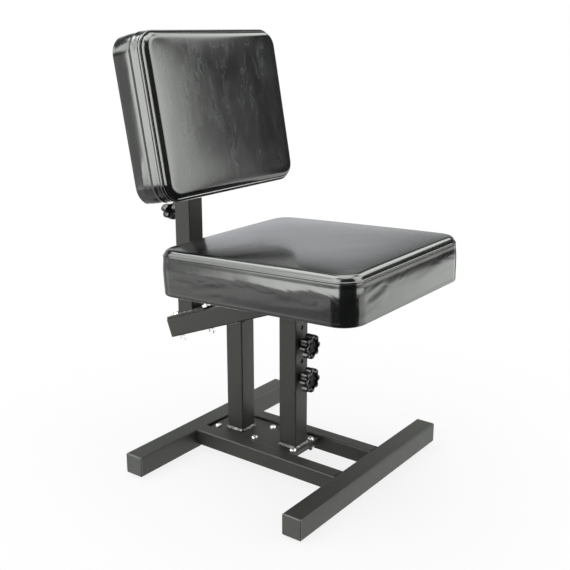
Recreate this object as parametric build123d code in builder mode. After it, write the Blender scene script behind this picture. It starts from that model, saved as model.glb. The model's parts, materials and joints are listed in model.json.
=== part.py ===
from build123d import *
from collections import namedtuple
import math
import os

# Adjustable padded training chair: an H shaped tube base, a bolted two-post stand with an inclined
# top rail, a seat that slides up in the front post and a backrest that slides up in a rear post on
# the rail. Millimetres. The chair faces -Y, X = 0 is its plane of symmetry, Z = 0 is the floor, and
# the origin is the middle of the chair's footprint. "Left" is the -X side.

os.makedirs("parts", exist_ok=True)

# ---------------------------------------------------------------- driving dimensions
glide_h = 5.0             # floor glides lift the tubes off the floor
mid_y = 33.4              # plane midway between the two stand posts

tube = 40.0               # square tube of beams, posts and top rail
wall = 2.0
tube_r = 3.0              # outer corner radius
beam_len = 472.0          # over the end plugs
front_beam_y = mid_y - 233.6
rear_beam_y = mid_y + 138.6

base_rail_w, base_rail_h = 29.0, 32.0
base_rail_x = 62.4

post_y = 65.9             # posts stand this far in front of and behind mid_y
front_post_y = mid_y - post_y
rear_post_y = mid_y + post_y
front_post_top = 360.0

plate_t = 5.0
cross_plate_z = 30.0
stand_plate_z = cross_plate_z + plate_t
stand_top = stand_plate_z + plate_t
plate_front_y = mid_y - 95.5
bolt_x = 30.0
bolt_rows = (mid_y - 87.0, mid_y + 7.5, mid_y + 102.0)

slope = 20.93             # degrees, the top rail rises to the front
rail_end_y = mid_y + 235.9        # underside of the top rail's rear end
rail_end_z = 196.8 + glide_h

back_post_y = mid_y + 195.5
back_post_top = 515.0
back_bolt_pitch = 86.0
foot_plate_len, foot_plate_t = 112.0, 4.0

inner = 35.0              # square tube that slides in a post
inner_wall = 2.0
inner_r, inner_bore_r = 2.5, 0.6
seat_tube_bottom = 110.0
hole_z = (284.0, 250.0, 216.0, 182.0)   # the row of holes in the front post
seat_knob_z = (hole_z[1], hole_z[3])
hole_r = 4.5
hole_margin = 1.0         # cutters start and end this far outside the metal
back_hole_z = 476.0
back_hole_pitch, back_hole_count = 30.0, 4
back_tube_bottom = back_hole_z - (back_hole_count - 1) * back_hole_pitch - 36
back_tube_top = 688.0

seat_w, seat_d, seat_t, seat_tilt = 385.0, 421.0, 80.0, 2.16
seat_front_y, seat_front_z = mid_y - 317.6, 375.1 + glide_h   # front edge of the underside
back_w, back_h, back_t, back_lean = 376.0, 300.0, 78.0, 10.4
back_front_y, back_front_z = mid_y + 64.9, 526.7 + glide_h    # lower edge of the front face
mount_t = 4.0             # steel plates that carry the pads

# M8 hardware
stud_r = 3.95
thread_r = 4.0
nut_r, nut_h = 7.5, 6.5   # nut radius is over the corners
back_nut_h = 8.0
washer_r, washer_t = 8.0, 1.6

# ---------------------------------------------------------------- derived frames
slope_sin, slope_cos = math.sin(math.radians(slope)), math.cos(math.radians(slope))
rail_dir = (0, -slope_cos, slope_sin)
rail_up = (0, slope_sin, slope_cos)
rail_end = Plane(
    origin=(0, rail_end_y + tube / 2 * slope_sin, rail_end_z + tube / 2 * slope_cos),
    x_dir=(1, 0, 0),
    z_dir=rail_dir,
)
rail_underside = Plane(origin=(0, rail_end_y, rail_end_z), x_dir=(1, 0, 0), z_dir=rail_up)

# the back post's axis meets the rail's top face at the origin of foot_plane
foot_z = rail_end_z - (back_post_y - rail_end_y) * slope_sin / slope_cos + tube / slope_cos
foot_plane = Plane(origin=(0, back_post_y, foot_z), x_dir=(1, 0, 0), z_dir=rail_up)

# the pads' planes lie on their mounting faces, with the normal into the pad
tilt_sin, tilt_cos = math.sin(math.radians(seat_tilt)), math.cos(math.radians(seat_tilt))
seat_plane = Plane(
    origin=(0, seat_front_y + seat_d / 2 * tilt_cos, seat_front_z - seat_d / 2 * tilt_sin),
    x_dir=(1, 0, 0),
    z_dir=(0, tilt_sin, tilt_cos),
)
lean_sin, lean_cos = math.sin(math.radians(back_lean)), math.cos(math.radians(back_lean))
back_plane = Plane(
    origin=(
        0,
        back_front_y + back_t * lean_cos + back_h / 2 * lean_sin,
        back_front_z - back_t * lean_sin + back_h / 2 * lean_cos,
    ),
    x_dir=(1, 0, 0),
    z_dir=(0, -lean_cos, lean_sin),
)


# ---------------------------------------------------------------- shared helpers
def write(part, label):
    part.label = label
    export_step(part, f"parts/{label}.step")


def upright(y):
    """Vertical plane at the given y, its normal to the front."""
    return Plane.XZ.offset(-y)


def tube_section(width=tube, height=tube):
    """Draw a hollow tube section into the current sketch."""
    RectangleRounded(width, height, tube_r)
    RectangleRounded(width - 2 * wall, height - 2 * wall, tube_r - wall, mode=Mode.SUBTRACT)


def inner_tube_section():
    """Draw the sliding tube's section into the current sketch."""
    bore = inner - 2 * inner_wall
    RectangleRounded(inner, inner, inner_r)
    RectangleRounded(bore, bore, inner_bore_r, mode=Mode.SUBTRACT)


def washers(plane, spots):
    """Washers hanging from the plane, against its normal."""
    with BuildPart() as ring:
        with BuildSketch(plane):
            with Locations(*spots):
                Circle(washer_r)
                Circle(thread_r + 0.2, mode=Mode.SUBTRACT)
        extrude(amount=-washer_t)
    return ring.part


def nuts(plane, spots, height=nut_h, bore_r=thread_r):
    """Hexagon nuts hanging from the plane, against its normal."""
    with BuildPart() as nut:
        with BuildSketch(plane):
            with Locations(*spots):
                RegularPolygon(nut_r, 6)
                Circle(bore_r, mode=Mode.SUBTRACT)
        extrude(amount=-height)
    return nut.part


# ---------------------------------------------------------------- base
plug_flange = 3.0         # plug outside the tube, bevel included
plug_bevel, plug_taper = 1.2, 40
plug_depth = 14.0
rail_plug_depth = 7.0
plug_slack = 0.1          # sleeve smaller than the tube's bore
plug_core = 5.0           # sleeve's opening smaller than the tube's bore
plug_core_r = 1.0
tube_bore = tube - 2 * wall
beam_tube = beam_len - 2 * plug_flange
beam_z = glide_h + tube / 2
beam_ys = (front_beam_y, rear_beam_y)
glide_x = beam_len / 2 - 30.0

base_rail_front = front_beam_y + tube / 2
base_rail_rear = rear_beam_y - tube / 2
base_rail_z = glide_h + tube - base_rail_h / 2    # flush with the beams' tops
plate_x = base_rail_x - base_rail_w / 2           # inner faces of the base rails
bolt_spots = [(x, y) for x in (-bolt_x, bolt_x) for y in bolt_rows]


def cross_beam(y):
    """Tube across the base, with glide holes in its lower wall."""
    with BuildPart() as beam:
        with BuildSketch(Plane.YZ.offset(-beam_tube / 2)):
            with Locations((y, beam_z)):
                tube_section()
        extrude(amount=beam_tube)
        with BuildSketch(Plane.XY.offset(glide_h - hole_margin)):
            with Locations((-glide_x, y), (glide_x, y)):
                Circle(thread_r)
        extrude(amount=wall + 2 * hole_margin, mode=Mode.SUBTRACT)
    return beam.part


def base_rail(x):
    """Tube between the two beams."""
    with BuildPart() as rail:
        with BuildSketch(upright(base_rail_rear)):
            with Locations((x, base_rail_z)):
                tube_section(base_rail_w, base_rail_h)
        extrude(amount=base_rail_rear - base_rail_front)
    return rail.part


write(cross_beam(front_beam_y), "front_cross_beam")
write(cross_beam(rear_beam_y), "rear_cross_beam")
write(base_rail(-base_rail_x), "left_base_rail")
write(base_rail(base_rail_x), "right_base_rail")

with BuildPart() as cross_plate:
    with BuildSketch(Plane.XY.offset(cross_plate_z)):
        with Locations((0, (plate_front_y + base_rail_rear) / 2)):
            Rectangle(2 * plate_x, base_rail_rear - plate_front_y)
        with Locations(*bolt_spots):
            Circle(hole_r, mode=Mode.SUBTRACT)
    extrude(amount=plate_t)
write(cross_plate.part, "cross_plate")

# four push-in plugs closing the beams' ends
with BuildPart() as beam_end_plugs:
    for side in (-1, 1):
        for y in beam_ys:
            beam_end = Plane(
                origin=(side * beam_tube / 2, y, beam_z), x_dir=(0, 1, 0), z_dir=(side, 0, 0)
            )
            with BuildSketch(beam_end):
                RectangleRounded(tube, tube, tube_r)
            extrude(amount=plug_flange - plug_bevel)
            with BuildSketch(beam_end.offset(plug_flange - plug_bevel)):
                RectangleRounded(tube, tube, tube_r)
            extrude(amount=plug_bevel, taper=plug_taper)
            with BuildSketch(beam_end.offset(-plug_depth)):
                RectangleRounded(tube_bore - plug_slack, tube_bore - plug_slack, tube_r - wall)
                RectangleRounded(
                    tube_bore - plug_core, tube_bore - plug_core, plug_core_r, mode=Mode.SUBTRACT
                )
            extrude(amount=plug_depth)
write(beam_end_plugs.part, "beam_end_plugs")

# four push-in glides: a pad with a flared foot and a stem in the beam's lower wall
glide_foot_r, glide_r = 9.5, 10.55
glide_foot_h, glide_flare = 1.5, 35
glide_stem = 8.0
with BuildPart() as floor_glides:
    for x in (-glide_x, glide_x):
        for y in beam_ys:
            with BuildSketch():
                with Locations((x, y)):
                    Circle(glide_foot_r)
            extrude(amount=glide_foot_h, taper=-glide_flare)
            with BuildSketch(Plane.XY.offset(glide_foot_h)):
                with Locations((x, y)):
                    Circle(glide_r)
            extrude(amount=glide_h - glide_foot_h)
            with BuildSketch(Plane.XY.offset(glide_h)):
                with Locations((x, y)):
                    Circle(stud_r)
            extrude(amount=glide_stem)
write(floor_glides.part, "floor_glides")

# ---------------------------------------------------------------- stand
stand_x = plate_x - 1.0
stand_rear_y = base_rail_rear - 4.0
foot_corner_r = 2.0
foot_bolt_spots = ((0, -back_bolt_pitch / 2), (0, back_bolt_pitch / 2))   # in foot_plane

with BuildPart() as stand_foot_plate:
    with BuildSketch(Plane.XY.offset(stand_plate_z)):
        with Locations((0, (plate_front_y + stand_rear_y) / 2)):
            RectangleRounded(2 * stand_x, stand_rear_y - plate_front_y, foot_corner_r)
        with Locations(*bolt_spots):
            Circle(hole_r, mode=Mode.SUBTRACT)
    extrude(amount=plate_t)
write(stand_foot_plate.part, "stand_foot_plate")

with BuildPart() as front_post:
    with BuildSketch(Plane.XY.offset(stand_top)):
        with Locations((0, front_post_y)):
            tube_section()
    extrude(amount=front_post_top - stand_top)
    with BuildSketch(upright(front_post_y - tube / 2 + wall + hole_margin)):
        with Locations(*[(0, z) for z in hole_z]):
            Circle(hole_r)
    extrude(amount=wall + 2 * hole_margin, mode=Mode.SUBTRACT)
write(front_post.part, "front_post")

# drawn overlong, then cut along the top rail's underside
with BuildPart() as rear_post:
    with BuildSketch(Plane.XY.offset(stand_top)):
        with Locations((0, rear_post_y)):
            tube_section()
    extrude(amount=300)
    split(bisect_by=rail_underside, keep=Keep.BOTTOM)
write(rear_post.part, "rear_post")

# drawn overlong, then cut upright at the front post's rear face
with BuildPart() as top_rail:
    with BuildSketch(rail_end.offset(plug_flange)):
        tube_section()
    extrude(amount=400)
    split(bisect_by=upright(front_post_y + tube / 2), keep=Keep.BOTTOM)
    with BuildSketch(foot_plane.offset(-tube - hole_margin)):
        with Locations(*foot_bolt_spots):
            Circle(hole_r)
    extrude(amount=tube + 2 * hole_margin, mode=Mode.SUBTRACT)
write(top_rail.part, "top_rail")

with BuildPart() as rail_end_plug:
    with BuildSketch(rail_end.offset(plug_flange)):
        RectangleRounded(tube, tube, tube_r)
    extrude(amount=-(plug_flange - plug_bevel))
    with BuildSketch(rail_end.offset(plug_bevel)):
        RectangleRounded(tube, tube, tube_r)
    extrude(amount=-plug_bevel, taper=plug_taper)
    with BuildSketch(rail_end.offset(plug_flange)):
        RectangleRounded(tube_bore - plug_slack, tube_bore - plug_slack, tube_r - wall)
        RectangleRounded(
            tube_bore - plug_core, tube_bore - plug_core, plug_core_r, mode=Mode.SUBTRACT
        )
    extrude(amount=rail_plug_depth)
write(rail_end_plug.part, "rail_end_plug")

# fillet welds round the posts' feet
weld = 3.2
with BuildPart() as post_foot_welds:
    for y in (front_post_y, rear_post_y):
        with BuildSketch(Plane.XY.offset(stand_top)):
            with Locations((0, y)):
                RectangleRounded(tube + 2 * weld, tube + 2 * weld, tube_r + weld)
        extrude(amount=weld, taper=43)
        with BuildSketch(Plane.XY.offset(stand_top)):
            with Locations((0, y)):
                RectangleRounded(tube, tube, tube_r)
        extrude(amount=weld, mode=Mode.SUBTRACT)
write(post_foot_welds.part, "post_foot_welds")

# ---------------------------------------------------------------- stand fasteners
head_r, head_h, head_round = 6.5, 4.4, 2.6
socket_r, socket_depth = 2.9, 2.6
stand_bolt_len = 21.0     # under the head
with BuildPart() as stand_bolts:
    with BuildSketch(Plane.XY.offset(stand_top)):
        with Locations(*bolt_spots):
            Circle(head_r)
    extrude(amount=head_h)
    fillet(stand_bolts.edges().group_by(Axis.Z)[-1], head_round)
    with BuildSketch(Plane.XY.offset(stand_top + head_h)):
        with Locations(*bolt_spots):
            RegularPolygon(socket_r, 6)
    extrude(amount=-socket_depth, mode=Mode.SUBTRACT)
    with BuildSketch(Plane.XY.offset(stand_top)):
        with Locations(*bolt_spots):
            Circle(stud_r)
    extrude(amount=-stand_bolt_len)
write(stand_bolts.part, "stand_bolts")

write(washers(Plane.XY.offset(cross_plate_z), bolt_spots), "stand_washers")
write(nuts(Plane.XY.offset(cross_plate_z - washer_t), bolt_spots), "stand_nuts")

# ---------------------------------------------------------------- back post on the rail
post_start = foot_z - 20  # below the foot plate, so that the slanted foot is cut from full tube
back_face_y = back_post_y + tube / 2

with BuildPart() as back_foot_plate:
    with BuildSketch(foot_plane):
        RectangleRounded(tube, foot_plate_len, foot_corner_r)
        with Locations(*foot_bolt_spots):
            Circle(hole_r, mode=Mode.SUBTRACT)
    extrude(amount=foot_plate_t)
write(back_foot_plate.part, "back_foot_plate")

with BuildPart() as back_post:
    with BuildSketch(Plane.XY.offset(post_start)):
        with Locations((0, back_post_y)):
            tube_section()
    extrude(amount=back_post_top - post_start)
    split(bisect_by=foot_plane.offset(foot_plate_t), keep=Keep.TOP)
    with BuildSketch(upright(back_face_y + hole_margin)):
        with Locations((0, back_hole_z)):
            Circle(hole_r)
    extrude(amount=wall + 2 * hole_margin, mode=Mode.SUBTRACT)
write(back_post.part, "back_post")

with BuildPart() as back_foot_weld:
    with BuildSketch(foot_plane.offset(foot_plate_t)):
        RectangleRounded(tube - 4, tube / slope_cos + 2 * weld, 4)
    extrude(amount=weld, taper=30)
    with BuildSketch(Plane.XY.offset(post_start)):
        with Locations((0, back_post_y)):
            RectangleRounded(tube, tube, tube_r)
    extrude(amount=80, mode=Mode.SUBTRACT)
write(back_foot_weld.part, "back_foot_weld")

foot_bolt_head_h = 5.3
foot_bolt_end = 4.5       # bolt showing below its nut
with BuildPart() as back_foot_bolts:
    with BuildSketch(foot_plane.offset(foot_plate_t)):
        with Locations(*foot_bolt_spots):
            RegularPolygon(nut_r, 6)
    extrude(amount=foot_bolt_head_h)
    with BuildSketch(foot_plane.offset(foot_plate_t)):
        with Locations(*foot_bolt_spots):
            Circle(stud_r)
    extrude(amount=-(foot_plate_t + tube + washer_t + nut_h + foot_bolt_end))
write(back_foot_bolts.part, "back_foot_bolts")

write(washers(foot_plane.offset(-tube), foot_bolt_spots), "back_foot_washers")
write(nuts(foot_plane.offset(-tube - washer_t), foot_bolt_spots), "back_foot_nuts")
write(
    nuts(upright(back_face_y), [(0, back_hole_z)], height=back_nut_h, bore_r=thread_r + 0.05),
    "back_post_nut",
)

# ---------------------------------------------------------------- backrest's sliding tube
with BuildPart() as back_slide_tube:
    with BuildSketch(Plane.XY.offset(back_tube_bottom)):
        with Locations((0, back_post_y)):
            inner_tube_section()
    extrude(amount=back_tube_top - back_tube_bottom)
    with BuildSketch(upright(back_post_y + inner / 2 + hole_margin)):
        with Locations(*[(0, back_hole_z - k * back_hole_pitch) for k in range(back_hole_count)]):
            Circle(hole_r)
    extrude(amount=inner_wall + 2 * hole_margin, mode=Mode.SUBTRACT)
write(back_slide_tube.part, "back_slide_tube")

inner_bore = inner - 2 * inner_wall
cap_t = 1.5               # straight part of the plug's cap, under its bevel
with BuildPart() as back_tube_plug:
    with BuildSketch(Plane.XY.offset(back_tube_top)):
        with Locations((0, back_post_y)):
            RectangleRounded(inner, inner, inner_r)
    extrude(amount=cap_t)
    with BuildSketch(Plane.XY.offset(back_tube_top + cap_t)):
        with Locations((0, back_post_y)):
            RectangleRounded(inner, inner, inner_r)
    extrude(amount=plug_bevel, taper=plug_taper)
    with BuildSketch(Plane.XY.offset(back_tube_top)):
        with Locations((0, back_post_y)):
            RectangleRounded(inner_bore - plug_slack, inner_bore - plug_slack, inner_bore_r)
            Rectangle(inner_bore - plug_core, inner_bore - plug_core, mode=Mode.SUBTRACT)
    extrude(amount=-plug_depth)
write(back_tube_plug.part, "back_tube_plug")


def mount_rear_y(z):
    """Y of the backrest mount plate's rear face at height z."""
    origin = back_plane.origin
    return origin.Y + mount_t / lean_cos + (z - origin.Z) * lean_sin / lean_cos


# side plates between the sliding tube and the backrest's mount plate
gusset_t = 3.0
gusset_bottom, gusset_knee = 566.0, 610.0
gusset_top = back_tube_top - 4
gusset_bottom_y, gusset_rear_y = back_post_y - 14, back_post_y + 8
with BuildPart() as back_gussets:
    for side in (-1, 1):
        with BuildSketch(Plane.YZ.offset(side * (inner / 2 + gusset_t / 2) - gusset_t / 2)):
            Polygon(
                (mount_rear_y(gusset_bottom), gusset_bottom),
                (gusset_bottom_y, gusset_bottom),
                (gusset_rear_y, gusset_knee),
                (gusset_rear_y, gusset_top),
                (mount_rear_y(gusset_top), gusset_top),
                align=None,
            )
        extrude(amount=gusset_t)
write(back_gussets.part, "back_gussets")

# ---------------------------------------------------------------- seat's sliding tube
seat_tube_inside_y = front_post_y - inner / 2 + inner_wall   # inside of the front wall

# drawn overlong, then cut along the underside of the seat's mount plate
with BuildPart() as seat_slide_tube:
    with BuildSketch(Plane.XY.offset(seat_tube_bottom)):
        with Locations((0, front_post_y)):
            inner_tube_section()
    extrude(amount=320)
    split(bisect_by=seat_plane.offset(-mount_t), keep=Keep.BOTTOM)
    with BuildSketch(upright(seat_tube_inside_y + hole_margin)):
        with Locations(*[(0, z) for z in seat_knob_z]):
            Circle(hole_r)
    extrude(amount=inner_wall + 2 * hole_margin, mode=Mode.SUBTRACT)
write(seat_slide_tube.part, "seat_slide_tube")

write(nuts(upright(seat_tube_inside_y), [(0, z) for z in seat_knob_z]), "seat_tube_nuts")

# ---------------------------------------------------------------- pads and their mounts
cover_t = 2.0
roll = 12.0               # rolled edge between a pad's side band and its panel
roll_taper = 38           # slope of the foam inside the rolled edge, degrees
hem_t, hem_w = 1.0, 22.0  # the cover turns under the board
hem_corner = 4.0          # added to the corner radius of the hem's opening
cloth_gap = 0.3           # between the dust cloth and the hem, all round
board_top = 12.0          # height of the board's foam side above the mounting face
board_gap = 0.8           # between the board and the cover, all round
gap = 0.1

screw_r, screw_hole_r = 2.95, 3.4
screw_head_r, screw_head_h, screw_head_taper = 6.0, 3.6, 12
screw_reach = 11.0        # screw beyond the mount plate
tee_bore_r, tee_barrel_r, tee_flange_r = 3.05, 4.0, 9.0
tee_bottom, tee_flange_t = 2.0, 1.5
tee_hole_r, tee_recess_r, tee_recess_depth = 4.1, 9.2, 1.6

# width runs along X and length along the plane's y; plate_shift moves the mount plate and its
# screws along the length
Pad = namedtuple(
    "Pad", "plane width length thickness corner_r plate_w plate_len plate_r plate_shift screws"
)


def screw_grid(half_w, half_len, shift):
    return [(x, y + shift) for x in (-half_w, half_w) for y in (-half_len, half_len)]


seat_shift, back_shift = 22.0, -24.0    # seat plate to the rear, back plate down
seat_pad = Pad(
    plane=seat_plane, width=seat_w, length=seat_d, thickness=seat_t, corner_r=40.0,
    plate_w=180, plate_len=190, plate_r=10, plate_shift=seat_shift,
    screws=screw_grid(70, 75, seat_shift),
)
back_pad = Pad(
    plane=back_plane, width=back_w, length=back_h, thickness=back_t, corner_r=36.0,
    plate_w=130, plate_len=180, plate_r=8, plate_shift=back_shift,
    screws=screw_grid(50, 75, back_shift),
)


def pad_outline(pad, inset, corner_r):
    """Draw the pad's outline, moved in by inset, into the current sketch."""
    RectangleRounded(pad.width - 2 * inset, pad.length - 2 * inset, corner_r)


def mount_plate(pad):
    with BuildPart() as plate:
        with BuildSketch(pad.plane):
            with Locations((0, pad.plate_shift)):
                RectangleRounded(pad.plate_w, pad.plate_len, pad.plate_r)
            with Locations(*pad.screws):
                Circle(screw_hole_r, mode=Mode.SUBTRACT)
        extrude(amount=-mount_t)
    return plate.part


def mount_screws(pad):
    with BuildPart() as screws:
        with BuildSketch(pad.plane.offset(-mount_t)):
            with Locations(*pad.screws):
                Circle(screw_head_r)
        extrude(amount=-screw_head_h, taper=screw_head_taper)
        with BuildSketch(pad.plane.offset(-mount_t)):
            with Locations(*pad.screws):
                Circle(screw_r)
        extrude(amount=mount_t + screw_reach)
    return screws.part


def tee_nuts(pad):
    """Threaded barrels in the board, flanged on its foam side."""
    with BuildPart() as tees:
        with BuildSketch(pad.plane.offset(tee_bottom)):
            with Locations(*pad.screws):
                Circle(tee_barrel_r)
                Circle(tee_bore_r, mode=Mode.SUBTRACT)
        extrude(amount=board_top - tee_bottom)
        with BuildSketch(pad.plane.offset(board_top - tee_flange_t)):
            with Locations(*pad.screws):
                Circle(tee_flange_r)
                Circle(tee_bore_r, mode=Mode.SUBTRACT)
        extrude(amount=tee_flange_t)
    return tees.part


def board(pad):
    inset = cover_t + board_gap
    with BuildPart() as panel:
        with BuildSketch(pad.plane.offset(hem_t)):
            pad_outline(pad, inset, pad.corner_r - inset)
            with Locations(*pad.screws):
                Circle(tee_hole_r, mode=Mode.SUBTRACT)
        extrude(amount=board_top - hem_t)
        with BuildSketch(pad.plane.offset(board_top - tee_recess_depth)):
            with Locations(*pad.screws):
                Circle(tee_recess_r)
        extrude(amount=tee_recess_depth, mode=Mode.SUBTRACT)
    return panel.part


def foam(pad):
    roll_start = pad.thickness - cover_t - roll
    with BuildPart() as block:
        with BuildSketch(pad.plane.offset(board_top + gap)):
            pad_outline(pad, cover_t + gap, pad.corner_r - cover_t)
        extrude(amount=roll_start - board_top - gap)
        with BuildSketch(pad.plane.offset(roll_start)):
            pad_outline(pad, cover_t + gap, pad.corner_r - cover_t)
        extrude(amount=roll - gap, taper=roll_taper)
    return block.part


def cover(pad):
    """Panel, side band and the hem turned under the board."""
    roll_start = pad.thickness - cover_t - roll
    normal = Axis((0, 0, 0), pad.plane.z_dir)
    with BuildPart() as skin:
        with BuildSketch(pad.plane):
            pad_outline(pad, 0, pad.corner_r)
        extrude(amount=pad.thickness)
        fillet(skin.faces().sort_by(normal)[-1].edges(), roll)
        with BuildSketch(pad.plane):
            pad_outline(pad, hem_w, pad.corner_r - hem_w + hem_corner)
        extrude(amount=hem_t, mode=Mode.SUBTRACT)
        with BuildSketch(pad.plane.offset(hem_t - gap)):
            pad_outline(pad, cover_t, pad.corner_r - cover_t)
        extrude(amount=roll_start - hem_t + gap, mode=Mode.SUBTRACT)
        with BuildSketch(pad.plane.offset(roll_start)):
            pad_outline(pad, cover_t, pad.corner_r - cover_t)
        extrude(amount=roll, taper=roll_taper, mode=Mode.SUBTRACT)
    return skin.part


def dust_cloth(pad):
    """Thin cloth that closes the hem's opening."""
    with BuildPart() as cloth:
        with BuildSketch(pad.plane.offset(gap)):
            pad_outline(pad, hem_w + cloth_gap, pad.corner_r - hem_w + hem_corner - cloth_gap)
            with Locations(*pad.screws):
                Circle(screw_hole_r, mode=Mode.SUBTRACT)
        extrude(amount=hem_t - 2 * gap)
    return cloth.part


for name, pad in (("back", back_pad), ("seat", seat_pad)):
    write(mount_plate(pad), f"{name}_mount_plate")
    write(mount_screws(pad), f"{name}_mount_screws")
    write(tee_nuts(pad), f"{name}_tee_nuts")
    write(board(pad), f"{name}_board")
    write(foam(pad), f"{name}_foam")
    write(cover(pad), f"{name}_cover")
    write(dust_cloth(pad), f"{name}_dust_cloth")

# ---------------------------------------------------------------- clamp knobs on M8 studs
knob_r, knob_valley_r, lobes = 25.0, 20.4, 8
knob_head, knob_hub, knob_hub_r = 17.0, 10.0, 10.0
knob_dish_r, knob_dish_depth, knob_dish_round = 15.5, 6.0, 1.2
knob_bore_depth = 8.0     # threaded hole beyond the hub
knob_gap = 0.3
stud_end_gap = 0.1        # between the stud and the bottom of the knob's hole
stud_chamfer = 0.8
tip_reach = wall + 0.25   # stud tip behind the post's face
points_per_lobe = 8
front_face_y = front_post_y - tube / 2

# lobed outline, a cosine wave round the mean radius
star = []
for k in range(lobes * points_per_lobe):
    angle = 2 * math.pi * k / (lobes * points_per_lobe)
    mean_r, wave = (knob_r + knob_valley_r) / 2, (knob_r - knob_valley_r) / 2
    radius = mean_r + wave * math.cos(lobes * angle)
    star.append((radius * math.cos(angle), radius * math.sin(angle)))


def clamp_knob(y, z, side):
    """Knob whose hub starts at y and whose head points to -Y (side -1) or +Y (side 1)."""
    hub_face = Plane(origin=(0, y, z), x_dir=(-side, 0, 0), z_dir=(0, side, 0))
    profile_plane = Plane(origin=(0, y, z), x_dir=(1, 0, 0), z_dir=(0, 0, side))
    outward = Axis((0, 0, 0), (0, side, 0))
    low, top = knob_hub, knob_hub + knob_head
    rim_r = knob_r + 0.1
    with BuildPart() as knob:
        # lobed head, its rims rounded by a turned envelope
        with BuildSketch(hub_face.offset(knob_hub)):
            with BuildLine():
                Spline(*star, periodic=True)
            make_face()
        extrude(amount=knob_head)
        with BuildSketch(profile_plane):
            with BuildLine():
                Line((0, low), (knob_r - 2.4, low))
                ThreePointArc((knob_r - 2.4, low), (knob_r - 0.5, low + 0.9), (rim_r, low + 2.8))
                Line((rim_r, low + 2.8), (rim_r, top - 7.5))
                ThreePointArc((rim_r, top - 7.5), (knob_r - 1.2, top - 2.6), (knob_r - 5.0, top))
                Line((knob_r - 5.0, top), (0, top))
                Line((0, top), (0, low))
            make_face()
        revolve(axis=Axis((0, y, z), (0, side, 0)), mode=Mode.INTERSECT)
        with BuildSketch(hub_face.offset(top)):
            Circle(knob_dish_r)
        extrude(amount=-knob_dish_depth, mode=Mode.SUBTRACT)
        circles = knob.edges().filter_by(GeomType.CIRCLE)
        dish = circles.filter_by(lambda edge: abs(edge.radius - knob_dish_r) < 0.01)
        fillet(dish.sort_by(outward)[-1], knob_dish_round)
        with BuildSketch(hub_face):
            Circle(knob_hub_r)
        extrude(amount=knob_hub)
        with BuildSketch(hub_face):
            Circle(thread_r)
        extrude(amount=knob_hub + knob_bore_depth, mode=Mode.SUBTRACT)
    return knob.part


def knob_stud(y, z, side, tip_y):
    """Stud from its chamfered tip at tip_y into the knob whose hub starts at y."""
    with BuildPart() as stud:
        with BuildSketch(Plane(origin=(0, tip_y, z), x_dir=(-side, 0, 0), z_dir=(0, side, 0))):
            Circle(stud_r)
        extrude(amount=abs(y - tip_y) + knob_hub + knob_bore_depth - stud_end_gap)
        chamfer(stud.edges().sort_by(Axis((0, 0, 0), (0, side, 0)))[0], stud_chamfer)
    return stud.part


# label, y where the hub starts, height, side the knob points to, y of the stud's tip
seat_hub_y = front_face_y - knob_gap
back_hub_y = back_face_y + back_nut_h + knob_gap
knob_spots = (
    ("seat_knob_upper", seat_hub_y, seat_knob_z[0], -1, front_face_y + tip_reach),
    ("seat_knob_lower", seat_hub_y, seat_knob_z[1], -1, front_face_y + tip_reach),
    ("back_knob", back_hub_y, back_hole_z, 1, back_face_y - tip_reach),
)
for label, y, z, side, tip_y in knob_spots:
    write(clamp_knob(y, z, side), label)
    write(knob_stud(y, z, side, tip_y), label + "_stud")
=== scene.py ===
"""An office chair with two sewn box cushions on a steel frame.

The chair stands on z = 0 and faces -Y; left is -X and right is +X. Units are metres. The CAD pieces
give the frame. The cushions, welds and hand knobs are modelled here and ride on their pieces.
"""

import json
import math
from dataclasses import dataclass

import bmesh
import bpy
import numpy as np
from mathutils import Matrix, Vector, noise
from mathutils.kdtree import KDTree


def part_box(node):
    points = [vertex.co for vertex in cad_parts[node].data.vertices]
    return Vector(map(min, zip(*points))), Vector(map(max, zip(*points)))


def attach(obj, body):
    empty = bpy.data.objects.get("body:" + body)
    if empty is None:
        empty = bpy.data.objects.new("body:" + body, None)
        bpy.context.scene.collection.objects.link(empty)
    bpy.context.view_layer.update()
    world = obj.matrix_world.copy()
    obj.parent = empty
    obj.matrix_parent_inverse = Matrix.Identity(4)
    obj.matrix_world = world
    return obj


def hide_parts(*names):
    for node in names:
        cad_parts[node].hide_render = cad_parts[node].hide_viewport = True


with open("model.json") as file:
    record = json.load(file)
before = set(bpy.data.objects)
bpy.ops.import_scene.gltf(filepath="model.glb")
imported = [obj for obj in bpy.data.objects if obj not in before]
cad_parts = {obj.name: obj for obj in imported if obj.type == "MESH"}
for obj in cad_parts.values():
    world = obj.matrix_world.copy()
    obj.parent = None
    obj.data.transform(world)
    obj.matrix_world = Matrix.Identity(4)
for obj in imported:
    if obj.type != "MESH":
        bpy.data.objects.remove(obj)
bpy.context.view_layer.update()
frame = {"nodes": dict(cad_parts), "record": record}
nodes = frame["nodes"]
scene = bpy.context.scene

# ------------------------------------------------------------------ driving dimensions
MID_Y = 0.0334                      # the y that the frame's lengths are measured from
GLIDE_H = 0.005                     # height of the floor glides
SEAT_W, SEAT_D, SEAT_T = 0.385, 0.421, 0.080
SEAT_TILT = math.radians(2.16)      # the seat falls towards the rear
BACK_W, BACK_H, BACK_T = 0.376, 0.300, 0.078
BACK_LEAN = math.radians(10.4)      # the back leans rearwards
SEAT_FRONT = Vector((0, MID_Y - 0.3176, 0.3751 + GLIDE_H))   # lower front edge of the seat pad
BACK_FRONT = Vector((0, MID_Y + 0.0649, 0.5267 + GLIDE_H))   # lower front edge of the back pad

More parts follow.
